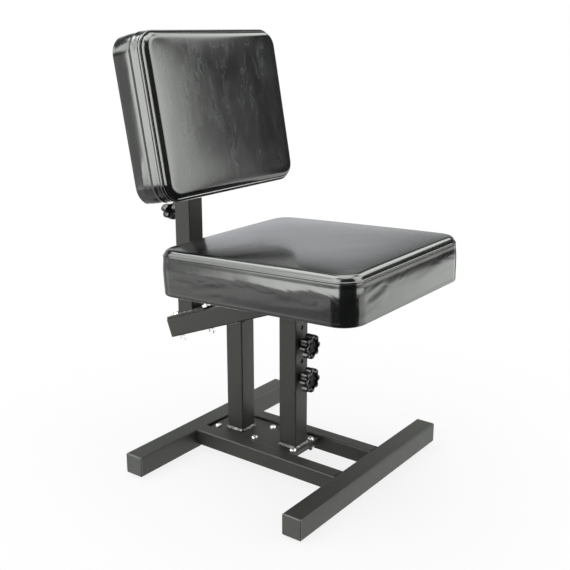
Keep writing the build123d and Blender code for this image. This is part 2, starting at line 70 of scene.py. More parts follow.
# A pad's own frame: x across, y along, z from its board out; the origin is mid-board.
SEAT_ALONG = Vector((0, math.cos(SEAT_TILT), -math.sin(SEAT_TILT)))
SEAT_OUT = Vector((0, math.sin(SEAT_TILT), math.cos(SEAT_TILT)))
BACK_ALONG = Vector((0, math.sin(BACK_LEAN), math.cos(BACK_LEAN)))
BACK_OUT = Vector((0, -math.cos(BACK_LEAN), math.sin(BACK_LEAN)))


def pad_matrix(along, out, origin):
    """Matrix from a pad's own frame to the world."""
    matrix = Matrix((Vector((1, 0, 0)), along, out)).transposed().to_4x4()
    matrix.translation = origin
    return matrix


SEAT_M = pad_matrix(SEAT_ALONG, SEAT_OUT, SEAT_FRONT + SEAT_ALONG * SEAT_D / 2)
BACK_M = pad_matrix(BACK_ALONG, BACK_OUT, BACK_FRONT - BACK_OUT * BACK_T + BACK_ALONG * BACK_H / 2)


# ------------------------------------------------------------------ node helpers
class Shader:
    """Builds the nodes of a material or a world. Values may be numbers, colours or sockets."""

    def __init__(self, owner):
        owner.use_nodes = True
        self.tree = owner.node_tree
        self.tree.nodes.clear()

    def feed(self, socket, value):
        """Links a socket's value or sets a plain one; a plain colour gets its alpha."""
        if isinstance(value, bpy.types.NodeSocket):
            self.tree.links.new(value, socket)
        elif socket.type == "RGBA":
            socket.default_value = (*value, 1)
        else:
            socket.default_value = value

    def node(self, kind, inputs=None, **settings):
        made = self.tree.nodes.new(kind)
        for key, value in settings.items():
            setattr(made, key, value)
        for key, value in (inputs or {}).items():
            self.feed(made.inputs[key], value)
        return made

    def math(self, operation, a, b=0.0, c=None, clamp=False):
        inputs = {0: a, 1: b} if c is None else {0: a, 1: b, 2: c}
        made = self.node("ShaderNodeMath", inputs, operation=operation, use_clamp=clamp)
        return made.outputs[0]

    def mix(self, factor, a, b):
        """Colour a where factor is 0, b where it is 1."""
        return self.node("ShaderNodeMix", {0: factor, 6: a, 7: b}, data_type="RGBA").outputs[2]


class Material(Shader):
    """A procedural material on object coordinates."""

    def __init__(self, name):
        self.material = bpy.data.materials.new(name)
        super().__init__(self.material)
        self.output = self.node("ShaderNodeOutputMaterial")
        self.principled = self.node("ShaderNodeBsdfPrincipled")
        self.feed(self.output.inputs[0], self.principled.outputs[0])
        self.coords = self.node("ShaderNodeTexCoord").outputs["Object"]

    def mapped(self, scale=(1, 1, 1), turn=(0, 0, 0), coords=None):
        inputs = {"Vector": coords or self.coords, "Scale": scale, "Rotation": turn}
        return self.node("ShaderNodeMapping", inputs).outputs[0]

    def noise(self, scale, detail=3.0, rough=0.5, distort=0.0, coords=None):
        inputs = {"Vector": coords or self.coords, "Scale": scale, "Detail": detail,
                  "Roughness": rough, "Distortion": distort}
        return self.node("ShaderNodeTexNoise", inputs).outputs[0]

    def voronoi(self, scale, random=1.0):
        """Distance to the nearest cell centre."""
        inputs = {"Vector": self.coords, "Scale": scale, "Randomness": random}
        return self.node("ShaderNodeTexVoronoi", inputs, feature="F1").outputs["Distance"]

    def wave(self, coords, **values):
        inputs = {"Vector": coords, **values}
        return self.node("ShaderNodeTexWave", inputs).outputs[1]

    def ramp(self, factor, *stops):
        """Colour ramp; each stop is (position, grey level or colour)."""
        made = self.node("ShaderNodeValToRGB", {0: factor})
        elements = made.color_ramp.elements
        while len(elements) < len(stops):
            elements.new(1.0)
        for i, (position, level) in enumerate(stops):
            elements[i].position = position
            colour = level if isinstance(level, tuple) else (level, level, level)
            elements[i].color = (*colour, 1)
        return made.outputs[0]

    def bump(self, height, strength, distance, normal=None):
        inputs = {"Strength": strength, "Distance": distance, "Height": height}
        if normal is not None:
            inputs["Normal"] = normal
        return self.node("ShaderNodeBump", inputs).outputs[0]

    def surface(self, **values):
        """Sets the principled shader's inputs, named with _ for a space."""
        for key, value in values.items():
            self.feed(self.principled.inputs[key.replace("_", " ")], value)
        return self.material


# ------------------------------------------------------------------ materials
def scaled(colour, factor):
    return tuple(channel * factor for channel in colour)


def crackle_streaks(mat, on_panel):
    """Pale crackle streaks along the panels of the pads."""
    wander = mat.node(
        "ShaderNodeTexNoise", {"Vector": mat.coords, "Scale": 16.0, "Detail": 4.0}
    ).outputs["Color"]
    bent = mat.node(
        "ShaderNodeMix", {0: 0.06, 4: mat.coords, 5: wander}, data_type="VECTOR"
    ).outputs[1]

    def ridges(scale, turn, width):
        """Thin wandering lines where a stretched noise crosses its middle."""
        stretched = mat.mapped(scale, turn=(turn, turn * 0.7, 0.0), coords=bent)
        value = mat.noise(scale=1.0, detail=2.5, rough=0.55, distort=0.6, coords=stretched)
        off_middle = mat.math("ABSOLUTE", mat.math("SUBTRACT", value, 0.5))
        return mat.ramp(off_middle, (0.0, 1.0), (width * 0.4, 0.35), (width, 0.0))

    lines = mat.math(
        "MAXIMUM",
        ridges(scale=(30, 30, 7), turn=0.15, width=0.110),
        ridges(scale=(58, 58, 13), turn=0.6, width=0.090),
    )
    patches = mat.noise(scale=6.0, detail=2.0, coords=mat.mapped((1, 1, 0.7), (0.3, 0.2, 1.1)))
    patches = mat.ramp(patches, (0.36, 0.10), (0.58, 1.0))
    breaks = mat.noise(
        scale=1.0, rough=0.6, distort=0.5, coords=mat.mapped((40, 40, 15), (0.0, 0.3, 0.0))
    )
    breaks = mat.ramp(breaks, (0.38, 0.0), (0.64, 1.0))
    return mat.math(
        "MULTIPLY", mat.math("MULTIPLY", lines, patches), mat.math("MULTIPLY", breaks, on_panel)
    )


def view_sheen(mat):
    """Sheen by viewing side: full from the front left, weak elsewhere.

    It is weakest on upward faces seen from behind, so that the black stays black there.
    """
    geometry = mat.node("ShaderNodeNewGeometry")
    incoming = mat.node("ShaderNodeSeparateXYZ", {0: geometry.outputs["Incoming"]})
    normal = mat.node("ShaderNodeSeparateXYZ", {0: geometry.outputs["Normal"]})
    to_x, to_y = incoming.outputs["X"], incoming.outputs["Y"]
    level = mat.math(
        "SQRT",
        mat.math("ADD", mat.math("MULTIPLY", to_x, to_x), mat.math("MULTIPLY", to_y, to_y)),
    )
    # cosine between the view and the direction (-0.8, -0.6)
    facing = mat.math("ADD", mat.math("MULTIPLY", to_x, -0.8), mat.math("MULTIPLY", to_y, -0.6))
    facing = mat.math("DIVIDE", facing, mat.math("MAXIMUM", level, 0.02))
    facing = mat.math("MULTIPLY", mat.math("SUBTRACT", facing, 0.35), 2.0, clamp=True)
    front = mat.ramp(facing, (0.0, 0.12), (0.5, 0.56), (1.0, 1.0))
    behind = mat.math(
        "MULTIPLY",
        mat.ramp(to_y, (0.0, 0.0), (0.45, 1.0)),
        mat.ramp(normal.outputs["Z"], (0.5, 0.0), (0.9, 1.0)),
    )
    kept = mat.math("SUBTRACT", 1.0, mat.math("MULTIPLY", behind, 0.75))
    return mat.math("MULTIPLY", front, kept)


def vinyl():
    """Black leatherette: fine pebble grain, soft unevenness and pale streaks on the panels."""
    mat = Material("black_leatherette")
    on_panel = mat.node("ShaderNodeAttribute", attribute_name="panel").outputs["Fac"]
    streak = crackle_streaks(mat, on_panel)
    cloud = mat.ramp(mat.noise(scale=14.0, detail=5.0, rough=0.62), (0.35, 0.0), (0.75, 1.0))
    base = mat.mix(cloud, (0.0050, 0.0054, 0.0053), (0.0095, 0.0102, 0.0100))
    base = mat.mix(mat.math("MULTIPLY", streak, 0.60), base, (0.080, 0.084, 0.082))
    rough = mat.math("ADD", mat.math("MULTIPLY", cloud, 0.05), 0.145)
    rough = mat.math("ADD", rough, mat.math("MULTIPLY", on_panel, 0.050))
    rough = mat.math("ADD", rough, mat.math("MULTIPLY", streak, 0.06))
    grain = mat.math(
        "ADD",
        mat.math("MULTIPLY", mat.voronoi(scale=950.0), 0.6),
        mat.math("MULTIPLY", mat.noise(scale=430.0, rough=0.6), 0.5),
    )
    normal = mat.bump(grain, strength=0.15, distance=0.00010)
    brushed = mat.noise(scale=1.0, rough=0.6, distort=0.4, coords=mat.mapped((30, 90, 30)))
    normal = mat.bump(brushed, strength=0.12, distance=0.0005, normal=normal)
    normal = mat.bump(streak, strength=0.12, distance=0.0003, normal=normal)
    sheen = view_sheen(mat)
    return mat.surface(
        Base_Color=base,
        Roughness=rough,
        Normal=normal,
        Specular_IOR_Level=mat.math("MULTIPLY", sheen, 0.52),
        Coat_Weight=mat.math("MULTIPLY", sheen, 0.25),
        Coat_Roughness=0.07,
        Coat_IOR=1.45,
    )


def powder():
    """Dark grey powder coat: orange-peel texture, slight colour drift, painted highlight on the
    edges.
    """
    mat = Material("powder_coat")
    base, light = (0.025, 0.0255, 0.0225), (0.060, 0.061, 0.056)
    drift = mat.ramp(mat.noise(scale=6.0), (0.3, 0.0), (0.75, 1.0))
    colour = mat.mix(drift, base, scaled(base, 1.18))
    # edges are where the bevelled normal leaves the true one
    bevel = mat.node("ShaderNodeBevel", {"Radius": 0.0022}, samples=4)
    geometry = mat.node("ShaderNodeNewGeometry")
    agreement = mat.node(
        "ShaderNodeVectorMath",
        {0: bevel.outputs[0], 1: geometry.outputs["Normal"]},
        operation="DOT_PRODUCT",
    ).outputs["Value"]
    edge = mat.ramp(mat.math("SUBTRACT", 1.0, agreement), (0.004, 0.0), (0.09, 1.0))
    # painted highlight: the edges are mixed towards a lighter grey, broken up by noise, and made a
    # little smoother
    highlight_breakup = mat.ramp(mat.noise(scale=60.0, detail=4.0, rough=0.7), (0.35, 0.15), (0.65, 1.0))
    edge_highlight = mat.math("MULTIPLY", edge, highlight_breakup)
    colour = mat.mix(mat.math("MULTIPLY", edge_highlight, 0.55), colour, light)
    speck = mat.ramp(mat.voronoi(scale=260.0), (0.0, 1.0), (0.12, 0.0))
    colour = mat.mix(mat.math("MULTIPLY", speck, 0.12), colour, scaled(base, 1.9))
    rough = mat.math("MULTIPLY", mat.noise(scale=35.0, detail=4.0, rough=0.6), 0.16)
    rough = mat.math("ADD", rough, 0.36)
    rough = mat.math("SUBTRACT", rough, mat.math("MULTIPLY", edge_highlight, 0.08))
    peel = mat.math(
        "ADD",
        mat.noise(scale=520.0, detail=2.0),
        mat.math("MULTIPLY", mat.noise(scale=1500.0, detail=2.0), 0.4),
    )
    normal = mat.bump(peel, strength=0.28, distance=0.00012)
    return mat.surface(Base_Color=colour, Roughness=rough, Normal=normal, Specular_IOR_Level=0.24)


def zinc():
    """Bright zinc plate: brushed grain, faint yellow-blue tint and small dull spots."""
    mat = Material("zinc_plate")
    tint = mat.ramp(
        mat.noise(scale=90.0, detail=4.0, rough=0.6),
        (0.3, (0.50, 0.49, 0.45)), (0.5, (0.62, 0.62, 0.61)), (0.72, (0.54, 0.57, 0.61)),
    )
    spots = mat.ramp(mat.voronoi(scale=420.0), (0.0, 1.0), (0.16, 0.0))
    colour = mat.mix(mat.math("MULTIPLY", spots, 0.35), tint, (0.38, 0.38, 0.36))
    streaks = mat.noise(scale=1.0, rough=0.6, coords=mat.mapped((240, 240, 2600)))
    rough = mat.math("ADD", mat.math("MULTIPLY", streaks, 0.18), 0.30)
    normal = mat.bump(streaks, strength=0.12, distance=0.00008)
    return mat.surface(Base_Color=colour, Metallic=1.0, Roughness=rough, Normal=normal)


def plastic(name, colour, rough, grain, strength, specular=0.5):
    """Moulded plastic: fine grain (its noise scale and bump strength) and polished patches."""
    mat = Material(name)
    drift = mat.ramp(mat.noise(scale=30.0), (0.3, 0.0), (0.7, 1.0))
    base = mat.mix(drift, colour, scaled(colour, 1.35))
    patches = mat.math("MULTIPLY", mat.noise(scale=70.0, detail=4.0, rough=0.6), 0.14)
    roughness = mat.math("ADD", patches, rough)
    height = mat.math(
        "ADD",
        mat.noise(scale=grain, detail=2.0),
        mat.math("MULTIPLY", mat.voronoi(scale=grain * 0.7), 0.4),
    )
    normal = mat.bump(height, strength=strength, distance=0.0001)
    return mat.surface(
        Base_Color=base, Roughness=roughness, Normal=normal, Specular_IOR_Level=specular
    )


def weld_metal():
    """Painted weld with lighter patches that are painted glints on the shiny beads."""
    mat = Material("painted_weld")
    # lighter patches are painted glints: they stand in for the light that the shiny beads catch
    painted_glints = mat.ramp(mat.noise(scale=150.0, rough=0.6), (0.50, 0.0), (0.62, 1.0))
    colour = mat.mix(painted_glints, (0.026, 0.027, 0.024), (0.20, 0.20, 0.19))
    rough = mat.math("MULTIPLY", mat.noise(scale=300.0, rough=0.6), 0.2)
    rough = mat.math("ADD", rough, 0.24)
    normal = mat.bump(mat.noise(scale=700.0, rough=0.6), strength=0.35, distance=0.0003)
    return mat.surface(Base_Color=colour, Roughness=rough, Normal=normal, Metallic=0.25)


def plywood():
    """Brown wood grain, with dark plies stacked along z."""
    mat = Material("plywood")
    rings = mat.wave(mat.mapped((1, 3, 1)), Scale=14.0, Distortion=9.0, Detail=3.0)
    grain = mat.ramp(
        rings, (0.0, (0.30, 0.19, 0.10)), (0.5, (0.46, 0.32, 0.19)), (1.0, (0.56, 0.41, 0.26))
    )
    plies = mat.noise(scale=1.0, detail=1.0, coords=mat.mapped((3, 3, 600)))
    plies = mat.ramp(plies, (0.4, 0.7), (0.6, 1.0))
    normal = mat.bump(rings, strength=0.15, distance=0.0003)
    colour = mat.mix(plies, (0.24, 0.15, 0.08), grain)
    return mat.surface(Base_Color=colour, Roughness=0.72, Normal=normal)


def backing_cloth():
    """Thin black non-woven cloth: pressed fibres and a grid of tiny bond points."""
    mat = Material("black_backing_cloth")
    fibres = mat.noise(
        scale=1.0, detail=5.0, rough=0.7, distort=2.0, coords=mat.mapped((900, 300, 900))
    )
    dots = mat.ramp(mat.voronoi(scale=420.0, random=0.0), (0.10, 1.0), (0.30, 0.0))
    pale = mat.ramp(fibres, (0.35, 0.0), (0.7, 1.0))
    colour = mat.mix(pale, (0.010, 0.010, 0.010), (0.026, 0.026, 0.026))
    colour = mat.mix(mat.math("MULTIPLY", dots, 0.5), colour, (0.006, 0.006, 0.006))
    height = mat.math("SUBTRACT", fibres, mat.math("MULTIPLY", dots, 0.6))
    normal = mat.bump(height, strength=0.5, distance=0.0003)
    return mat.surface(
        Base_Color=colour, Roughness=0.88, Normal=normal, Sheen_Weight=0.25, Sheen_Roughness=0.5
    )


def thread():
    """Twisted black sewing thread."""
    mat = Material("stitch_thread")
    twist = mat.wave(mat.mapped(turn=(0.5, 0.4, 0.6)), Scale=900.0)
    colour = mat.mix(twist, (0.020, 0.020, 0.020), (0.060, 0.060, 0.058))
    normal = mat.bump(twist, strength=0.4, distance=0.0001)
    return mat.surface(Base_Color=colour, Roughness=0.55, Normal=normal, Sheen_Weight=0.3)


def foam():
    """Pale yellow open-celled foam."""
    mat = Material("foam")
    cells = mat.voronoi(scale=700.0)
    colour = mat.mix(cells, (0.50, 0.46, 0.33), (0.66, 0.62, 0.50))
    normal = mat.bump(cells, strength=0.6, distance=0.0005)
    return mat.surface(Base_Color=colour, Roughness=0.95, Normal=normal)


M_VINYL = vinyl()
M_FRAME = powder()
M_ZINC = zinc()
M_KNOB = plastic(
    "knob_plastic", colour=(0.0060, 0.0060, 0.0062), rough=0.25, grain=700.0, strength=0.12
)
# darker, duller copy of the knob plastic for the dish: painted shade for the knob's recess
M_SHADED_DISH = plastic(
    "knob_dish_painted_shade", colour=(0.0040, 0.0040, 0.0042), rough=0.50, grain=500.0, strength=0.30,
    specular=0.16,
)
M_PLUG = plastic(
    "plug_plastic", colour=(0.036, 0.037, 0.034), rough=0.38, grain=900.0, strength=0.30
)
M_GLIDE = plastic(
    "glide_plastic", colour=(0.012, 0.012, 0.012), rough=0.50, grain=600.0, strength=0.40
)
M_WELD = weld_metal()
M_PLY = plywood()
M_CLOTH = backing_cloth()
M_THREAD = thread()
M_FOAM = foam()

BY_SLOT = {
    "frame_paint": M_FRAME, "zinc_steel": M_ZINC, "black_plastic": M_PLUG, "plywood": M_PLY,
    "foam": M_FOAM, "black_vinyl": M_VINYL, "dust_cloth": M_CLOTH,
}
# Pieces whose material isn't their slot's.
BY_NODE = {
    "seat_knob_upper": M_KNOB, "seat_knob_lower": M_KNOB, "back_knob": M_KNOB,
    "floor_glides": M_GLIDE,
}


def dress_nodes():
    """Gives every CAD piece its material."""
    slots = {part["node"]: part["material_slot"] for part in frame["record"]["subparts"]}
    for name, ob in nodes.items():
        material = BY_NODE.get(name, BY_SLOT[slots[name]])
        if not ob.material_slots:
            ob.data.materials.append(material)
        for material_slot in ob.material_slots:
            material_slot.material = material


dress_nodes()


# ------------------------------------------------------------------ shape helpers
def smooth(t):
    """Smooth step from 0 to 1."""
    t = min(1.0, max(0.0, t))
    return t * t * (3 - 2 * t)


# Rounded rectangles are given by half width, half depth and corner radius. Their corners are
# numbered from right front, anticlockwise.
CORNER_SIGNS = ((1, -1), (1, 1), (-1, 1), (-1, -1))


def rounded_outline(half_w, half_d, radius, steps, first=0):
    """Points round a rounded rectangle from corner `first`, with `steps` steps a corner."""
    points = []
    for corner in range(first, first + 4):
        sign_x, sign_y = CORNER_SIGNS[corner % 4]
        for k in range(steps + 1):
            angle = math.radians(90 * (corner - 1) + 90 * k / steps)
            points.append((
                sign_x * (half_w - radius) + radius * math.cos(angle),
                sign_y * (half_d - radius) + radius * math.sin(angle),
            ))
    return points


def outward(x, y, half_w, half_d, radius):
    """Outward direction at a point near the edge of a rounded rectangle."""
    over_x, over_y = abs(x) - (half_w - radius), abs(y) - (half_d - radius)
    if over_x > 1e-9 and over_y > 1e-9:
        length = math.hypot(over_x, over_y)
        return math.copysign(over_x / length, x), math.copysign(over_y / length, y)
    if over_x > over_y:
        return math.copysign(1, x), 0.0
    return 0.0, math.copysign(1, y)


def edge_distance(x, y, half_w, half_d, radius):
    """Distance from (x, y) out to the edge of a rounded rectangle."""
    over_x, over_y = abs(x) - (half_w - radius), abs(y) - (half_d - radius)
    outside = math.hypot(max(over_x, 0), max(over_y, 0))
    return -(outside + min(max(over_x, over_y), 0) - radius)


def corner_map(u, v, half_w, half_d, radius):
    """Maps a point of the square -1..1 so that its rings become rings of the rectangle."""
    ring = max(abs(u), abs(v))
    if ring < 1e-9:
        return 0.0, 0.0
    x, y = u / ring * half_w, v / ring * half_d
    if abs(x) > half_w - radius and abs(y) > half_d - radius:
        p, q = (abs(x) - half_w + radius) / radius, (abs(y) - half_d + radius) / radius
        angle = math.pi / 4 * (q / p) if p >= q else math.pi / 4 * (2 - p / q)
        x = math.copysign(half_w - radius + radius * math.cos(angle), x)
        y = math.copysign(half_d - radius + radius * math.sin(angle), y)
    return x * ring, y * ring


def join_rings(bm, a, b, flipped=False):
    """Faces between two closed rings of vertices; a ring of one vertex is a pole."""
    count = max(len(a), len(b))
    faces = []
    for k in range(count):
        k2 = (k + 1) % count
        if len(a) == 1:
            corners = (a[0], b[k2], b[k])
        elif len(b) == 1:
            corners = (a[k], a[k2], b[0])
        elif flipped:
            corners = (a[k], b[k], b[k2], a[k2])
        else:
            corners = (a[k], a[k2], b[k2], b[k])
        faces.append(bm.faces.new(corners))
    return faces


def mesh_object(bm, name):
    mesh = bpy.data.meshes.new(name)
    bm.to_mesh(mesh)
    bm.free()
    ob = bpy.data.objects.new(name, mesh)
    scene.collection.objects.link(ob)
    return ob


def place(bm, name, material, body, matrix=Matrix.Identity(4), shade_smooth=True):
    bmesh.ops.recalc_face_normals(bm, faces=bm.faces)
    ob = mesh_object(bm, name)
    ob.data.transform(matrix)
    ob.data.materials.append(material)
    for face in ob.data.polygons:
        face.use_smooth = shade_smooth
    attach(ob, body)
    return ob


# ------------------------------------------------------------------ cushion design
# Rolled lip from the seam out and past the topstitching: (inset from the silhouette without the
# band's lean, depth below the seam).
TALL_LIP = (
    (0.0045, 0.0003), (0.0041, -0.0002), (0.0036, -0.0010), (0.0030, -0.0015),
    (0.0023, -0.0014), (0.0017, -0.0008), (0.0012, 0.0001), (0.0009, 0.0013),
    (0.0007, 0.0026), (0.0008, 0.0037), (0.0010, 0.0044), (0.0011, 0.0050),
    (0.0009, 0.0057), (0.0007, 0.0067), (0.0005, 0.0082), (0.0003, 0.0102), (0.0001, 0.0126),
)
LOW_LIP = (
    (0.0029, 0.0005), (0.0025, 0.0007), (0.0021, 0.0007), (0.0017, 0.0008),
    (0.0012, 0.0011), (0.0008, 0.0017), (0.0007, 0.0024), (0.0008, 0.0030),
    (0.0010, 0.0034), (0.0011, 0.0038), (0.0010, 0.0044), (0.0009, 0.0056),
    (0.0008, 0.0072), (0.0007, 0.0094), (0.0006, 0.0118),
)
# Hem turned under the board: (inset, share of the band's foot inset, height, share of the rim).
HEM = (
    (0.0010, 1.0, 0.0042, 0.0), (0.0009, 1.0, 0.0026, 0.0), (0.0009, 1.0, 0.0012, 0.3),
    (0.0013, 0.9, 0.0001, 0.7), (0.0022, 0.6, -0.0005, 0.94), (0.0040, 0.3, -0.0007, 1.0),
    (0.0072, 0.0, -0.0007, 1.0), (0.0105, 0.0, -0.0006, 1.0), (0.0150, 0.0, -0.0006, 1.0),
    (0.0185, 0.0, -0.0005, 0.95), (0.0205, 0.0, -0.0004, 0.5), (0.0213, 0.0, -0.0001, 0.0),
    (0.0216, 0.0, 0.0004, 0.0), (0.0222, 0.0, 0.00094, 0.0),
)
HEM_END, INNER_Z = HEM[-1][0], HEM[-1][2]

# Distances of the panel's outer grid lines from its seam, and the even step inside them.
EDGE_LINES = (
    0.0, 0.0004, 0.0009, 0.0015, 0.0022, 0.0031, 0.0042, 0.0055, 0.0072, 0.0092, 0.0115, 0.0145,
    0.0180, 0.0220,
)
PANEL_STEP = 0.0045
BAND_STEPS, BAND_LOW = 28, 0.0058   # rings down the band, and the height of the last
STAPLE_INSET = 0.0135


@dataclass(frozen=True)
class Pad:
    """A sewn box cushion: a domed panel, the seam round it, a side band and its hem."""
    tag: str
    body: str
    hides: tuple        # CAD pieces it stands for
    matrix: Matrix
    width: float
    depth: float
    corner: float       # radius of the corners in plan
    thick: float
    roll: float         # height of the panel's rolled edge above the seam
    run: float          # how far in the roll reaches
    crown: float        # height of the dome beyond the roll
    dome_power: tuple   # flatness of the dome (across, along)
    roll_power: tuple   # exponents of the roll (inner, outer)
    lean: float         # inset of the lip from the silhouette
    seam_gap: float     # seam inwards of the lip
    ahead: float        # how much less the front and rear bands stand in
    panel_edge: float   # points farther in than this belong to the panel
    lip: tuple
    stitch_drop: float  # topstitching below the seam
    rim: float          # drop of the hem below the board
    crackle: float      # strength of the pale streaks
    band_amp: float     # height of the band's wrinkles
    panel_amp: float    # height of the panel's unevenness
    seed: float
    folds: tuple
    taper: float = 0.0  # narrowing of the band towards the panel
    crease: float = 0.0  # share of the thickness where a tapered band is creased

    @property
    def plan(self):
        """Half width, half depth and corner radius."""
        return self.width / 2, self.depth / 2, self.corner

    @property
    def seam_z(self):
        return self.thick - self.roll

    @property
    def stitch_z(self):
        return self.seam_z - self.stitch_drop


# ------------------------------------------------------------------ cushion mesh
def grid_lines(half):
    """Grid lines from -1 to 1: close together near the edges, even in the middle."""
    lines = [1 - distance / half for distance in EDGE_LINES]
    rest = lines[-1]
    count = max(2, round(rest * half / PANEL_STEP))
    lines += [rest * (count - k) / count for k in range(1, count)]
    lines.sort()
    return [-line for line in reversed(lines)] + [0.0] + lines


def panel_height(pad, x, y, half_w, half_d, distance):
    """Height above the seam: a round roll up from it, then one slow crown over the panel."""
    inner, outer = pad.roll_power
    across, along = pad.dome_power
    share = min(1.0, distance / pad.run)
    roll = pad.roll * (1 - (1 - share) ** inner) ** outer
    x_share, y_share = min(1.0, abs(x) / half_w), min(1.0, abs(y) / half_d)
    return roll + pad.crown * (1 - x_share ** across) * (1 - y_share ** along)


def band_inset(pad, height):
    """How far the band lies inside the silhouette; height is 0 at the board, 1 at the top.

    A plain band is a soft barrel with a shoulder towards the panel. A tapered one is a barrel up
    to its crease, then a strip that narrows towards the panel.
    """
    if not pad.taper:
        barrel = 0.0010 * math.sin(math.pi * min(1.0, height / 0.95))
        return 0.0012 - barrel + 0.0016 * smooth((height - 0.50) / 0.34) ** 1.3
    above = height - pad.crease
    lower = 0.0022 - 0.0013 * math.sin(math.pi * min(1.0, height / pad.crease)) ** 0.8
    upper = 0.0001 + pad.taper * max(0.0, (above - 0.05) / (0.80 - pad.crease))
    inset = lower + (upper - lower) * smooth((above + 0.020) / 0.085)
    return inset + 0.00014 * math.exp(-((above / 0.026) ** 2))


def band_profile(pad):
    """(inset from the silhouette, height) from the seam over lip, band and hem."""
    profile = [(inset + pad.lean, pad.seam_z - depth) for inset, depth in pad.lip]
    lip_inset, top = profile[-1]
    step = lip_inset - band_inset(pad, top / pad.thick)
    for k in range(1, BAND_STEPS + 1):
        share = k / BAND_STEPS
        z = top + (BAND_LOW - top) * share
        blend = step * (1 - smooth(share / 0.25))
        profile.append((band_inset(pad, z / pad.thick) + blend, z))
    foot = max(0.0, profile[-1][0] - HEM[0][0])
    profile += [
        (inset + foot * foot_share, z - pad.rim * rim_share)
        for inset, foot_share, z, rim_share in HEM
    ]
    return profile


def cushion_mesh(pad):
    """The whole cover in the pad's own frame, with the inside face against the board."""
    half_w, half_d, radius = pad.plan
    seam_in = pad.seam_gap + pad.lean
    panel_w, panel_d = half_w - seam_in, half_d - seam_in + pad.ahead
    panel_plan = (panel_w, panel_d, radius - seam_in)
    columns, rows = grid_lines(panel_w), grid_lines(panel_d)
    last_x, last_y = len(columns) - 1, len(rows) - 1
    bm = bmesh.new()

    grid = {}
    for j, v in enumerate(rows):
        for i, u in enumerate(columns):
            x, y = corner_map(u, v, *panel_plan)
            distance = max(0.0, edge_distance(x, y, *panel_plan))
            z = pad.seam_z + panel_height(pad, x, y, panel_w, panel_d, distance)
            grid[i, j] = bm.verts.new((x, y, z))
    for j in range(last_y):
        for i in range(last_x):
            bm.faces.new((grid[i, j], grid[i + 1, j], grid[i + 1, j + 1], grid[i, j + 1]))

    # the seam, then one ring for each point of the profile
    seam_keys = [(i, 0) for i in range(last_x)] + [(last_x, j) for j in range(last_y)]
    seam_keys += [(i, last_y) for i in range(last_x, 0, -1)]
    seam_keys += [(0, j) for j in range(last_y, 0, -1)]
    ring = [grid[key] for key in seam_keys]
    seam = [(vert.co.x, vert.co.y) for vert in ring]
    normals = [outward(x, y, *panel_plan) for x, y in seam]
    for inset, z in band_profile(pad):
        tuck = pad.ahead * (1 - smooth((z / pad.thick - 0.50) / 0.34))
        above = ring
        ring = []
        for (x, y), (out_x, out_y) in zip(seam, normals):
            offset = seam_in - inset - tuck * out_y ** 2
            ring.append(bm.verts.new((x + out_x * offset, y + out_y * offset, z)))
        join_rings(bm, above, ring, flipped=True)

    # inside face of the cover
    under = dict(zip(seam_keys, ring))
    scale_x = (panel_w - HEM_END + seam_in) / panel_w
    scale_y = (panel_d - HEM_END + seam_in - pad.ahead) / panel_d
    for j in range(last_y + 1):
        for i in range(last_x + 1):
            if (i, j) not in under:
                co = grid[i, j].co
                under[i, j] = bm.verts.new((co.x * scale_x, co.y * scale_y, INNER_Z))
    for j in range(last_y):
        for i in range(last_x):
            bm.faces.new((under[i, j], under[i, j + 1], under[i + 1, j + 1], under[i + 1, j]))
    bm.normal_update()
    ob = mesh_object(bm, pad.tag + "_cushion")
    mark_panel(ob.data, pad)
    return ob


def mark_panel(mesh, pad):
    """Attribute that says how strongly the panel's streaks show."""
    mark = mesh.attributes.new("panel", "FLOAT", "POINT")
    for vert in mesh.vertices:
        level = 0.0
        if vert.co.z > pad.thick * 0.5:
            distance = edge_distance(vert.co.x, vert.co.y, *pad.plan)
            level = pad.crackle * smooth((distance - 0.016) / 0.020)
        mark.data[vert.index].value = level


# ------------------------------------------------------------------ cover simulation
SIM_SHRINK = 0.003      # the block lies this far inside the cushion
SIM_VOXEL = 0.0065
SIM_FRAMES = 20
STAPLED_Z = 0.0075      # the cover is held below this height
MOVE_CAP = 0.008        # soft limit of the cover's movement
CLOTH_SETTINGS = {
    "quality": 6, "mass": 0.35, "tension_stiffness": 18, "compression_stiffness": 14,
    "shear_stiffness": 6, "bending_stiffness": 0.22, "use_pressure": True,
    "uniform_pressure_force": 4.0, "shrink_min": -0.035, "vertex_group_mass": "held",
    "pin_stiffness": 1.0,
}


def blank_cushion(pad):
    """A plain rounded block, a little smaller than the cushion, that the cover swells from."""
    half_w, half_d, radius = (size - SIM_SHRINK for size in pad.plan)
    points = rounded_outline(half_w, half_d, radius, steps=12, first=1)
    thick = pad.thick
    levels = (              # (inset, height)
        (0.0, 0.0), (0.0, thick - 0.012 - SIM_SHRINK), (0.0022, thick - 0.0065 - SIM_SHRINK),
        (0.0070, thick - 0.0025 - SIM_SHRINK), (0.0125, thick - SIM_SHRINK),
    )
    bm = bmesh.new()
    rings = []
    for inset, z in levels:
        ring = []
        for x, y in points:
            scale = 1 - inset / math.hypot(x, y) * 1.2
            ring.append(bm.verts.new((x * scale, y * scale, z)))
        rings.append(ring)
    for a, b in zip(rings, rings[1:]):
        join_rings(bm, a, b)
    bm.faces.new(list(reversed(rings[0])))
    bm.faces.new(rings[-1])
    bm.normal_update()
    return mesh_object(bm, "sim_proxy")


def remesh(ob):
    bpy.context.view_layer.objects.active = ob
    for other in bpy.context.selected_objects:
        other.select_set(False)
    ob.select_set(True)
    modifier = ob.modifiers.new("remesh", "REMESH")
    modifier.mode = "VOXEL"
    modifier.voxel_size = SIM_VOXEL
    bpy.ops.object.modifier_apply(modifier="remesh")


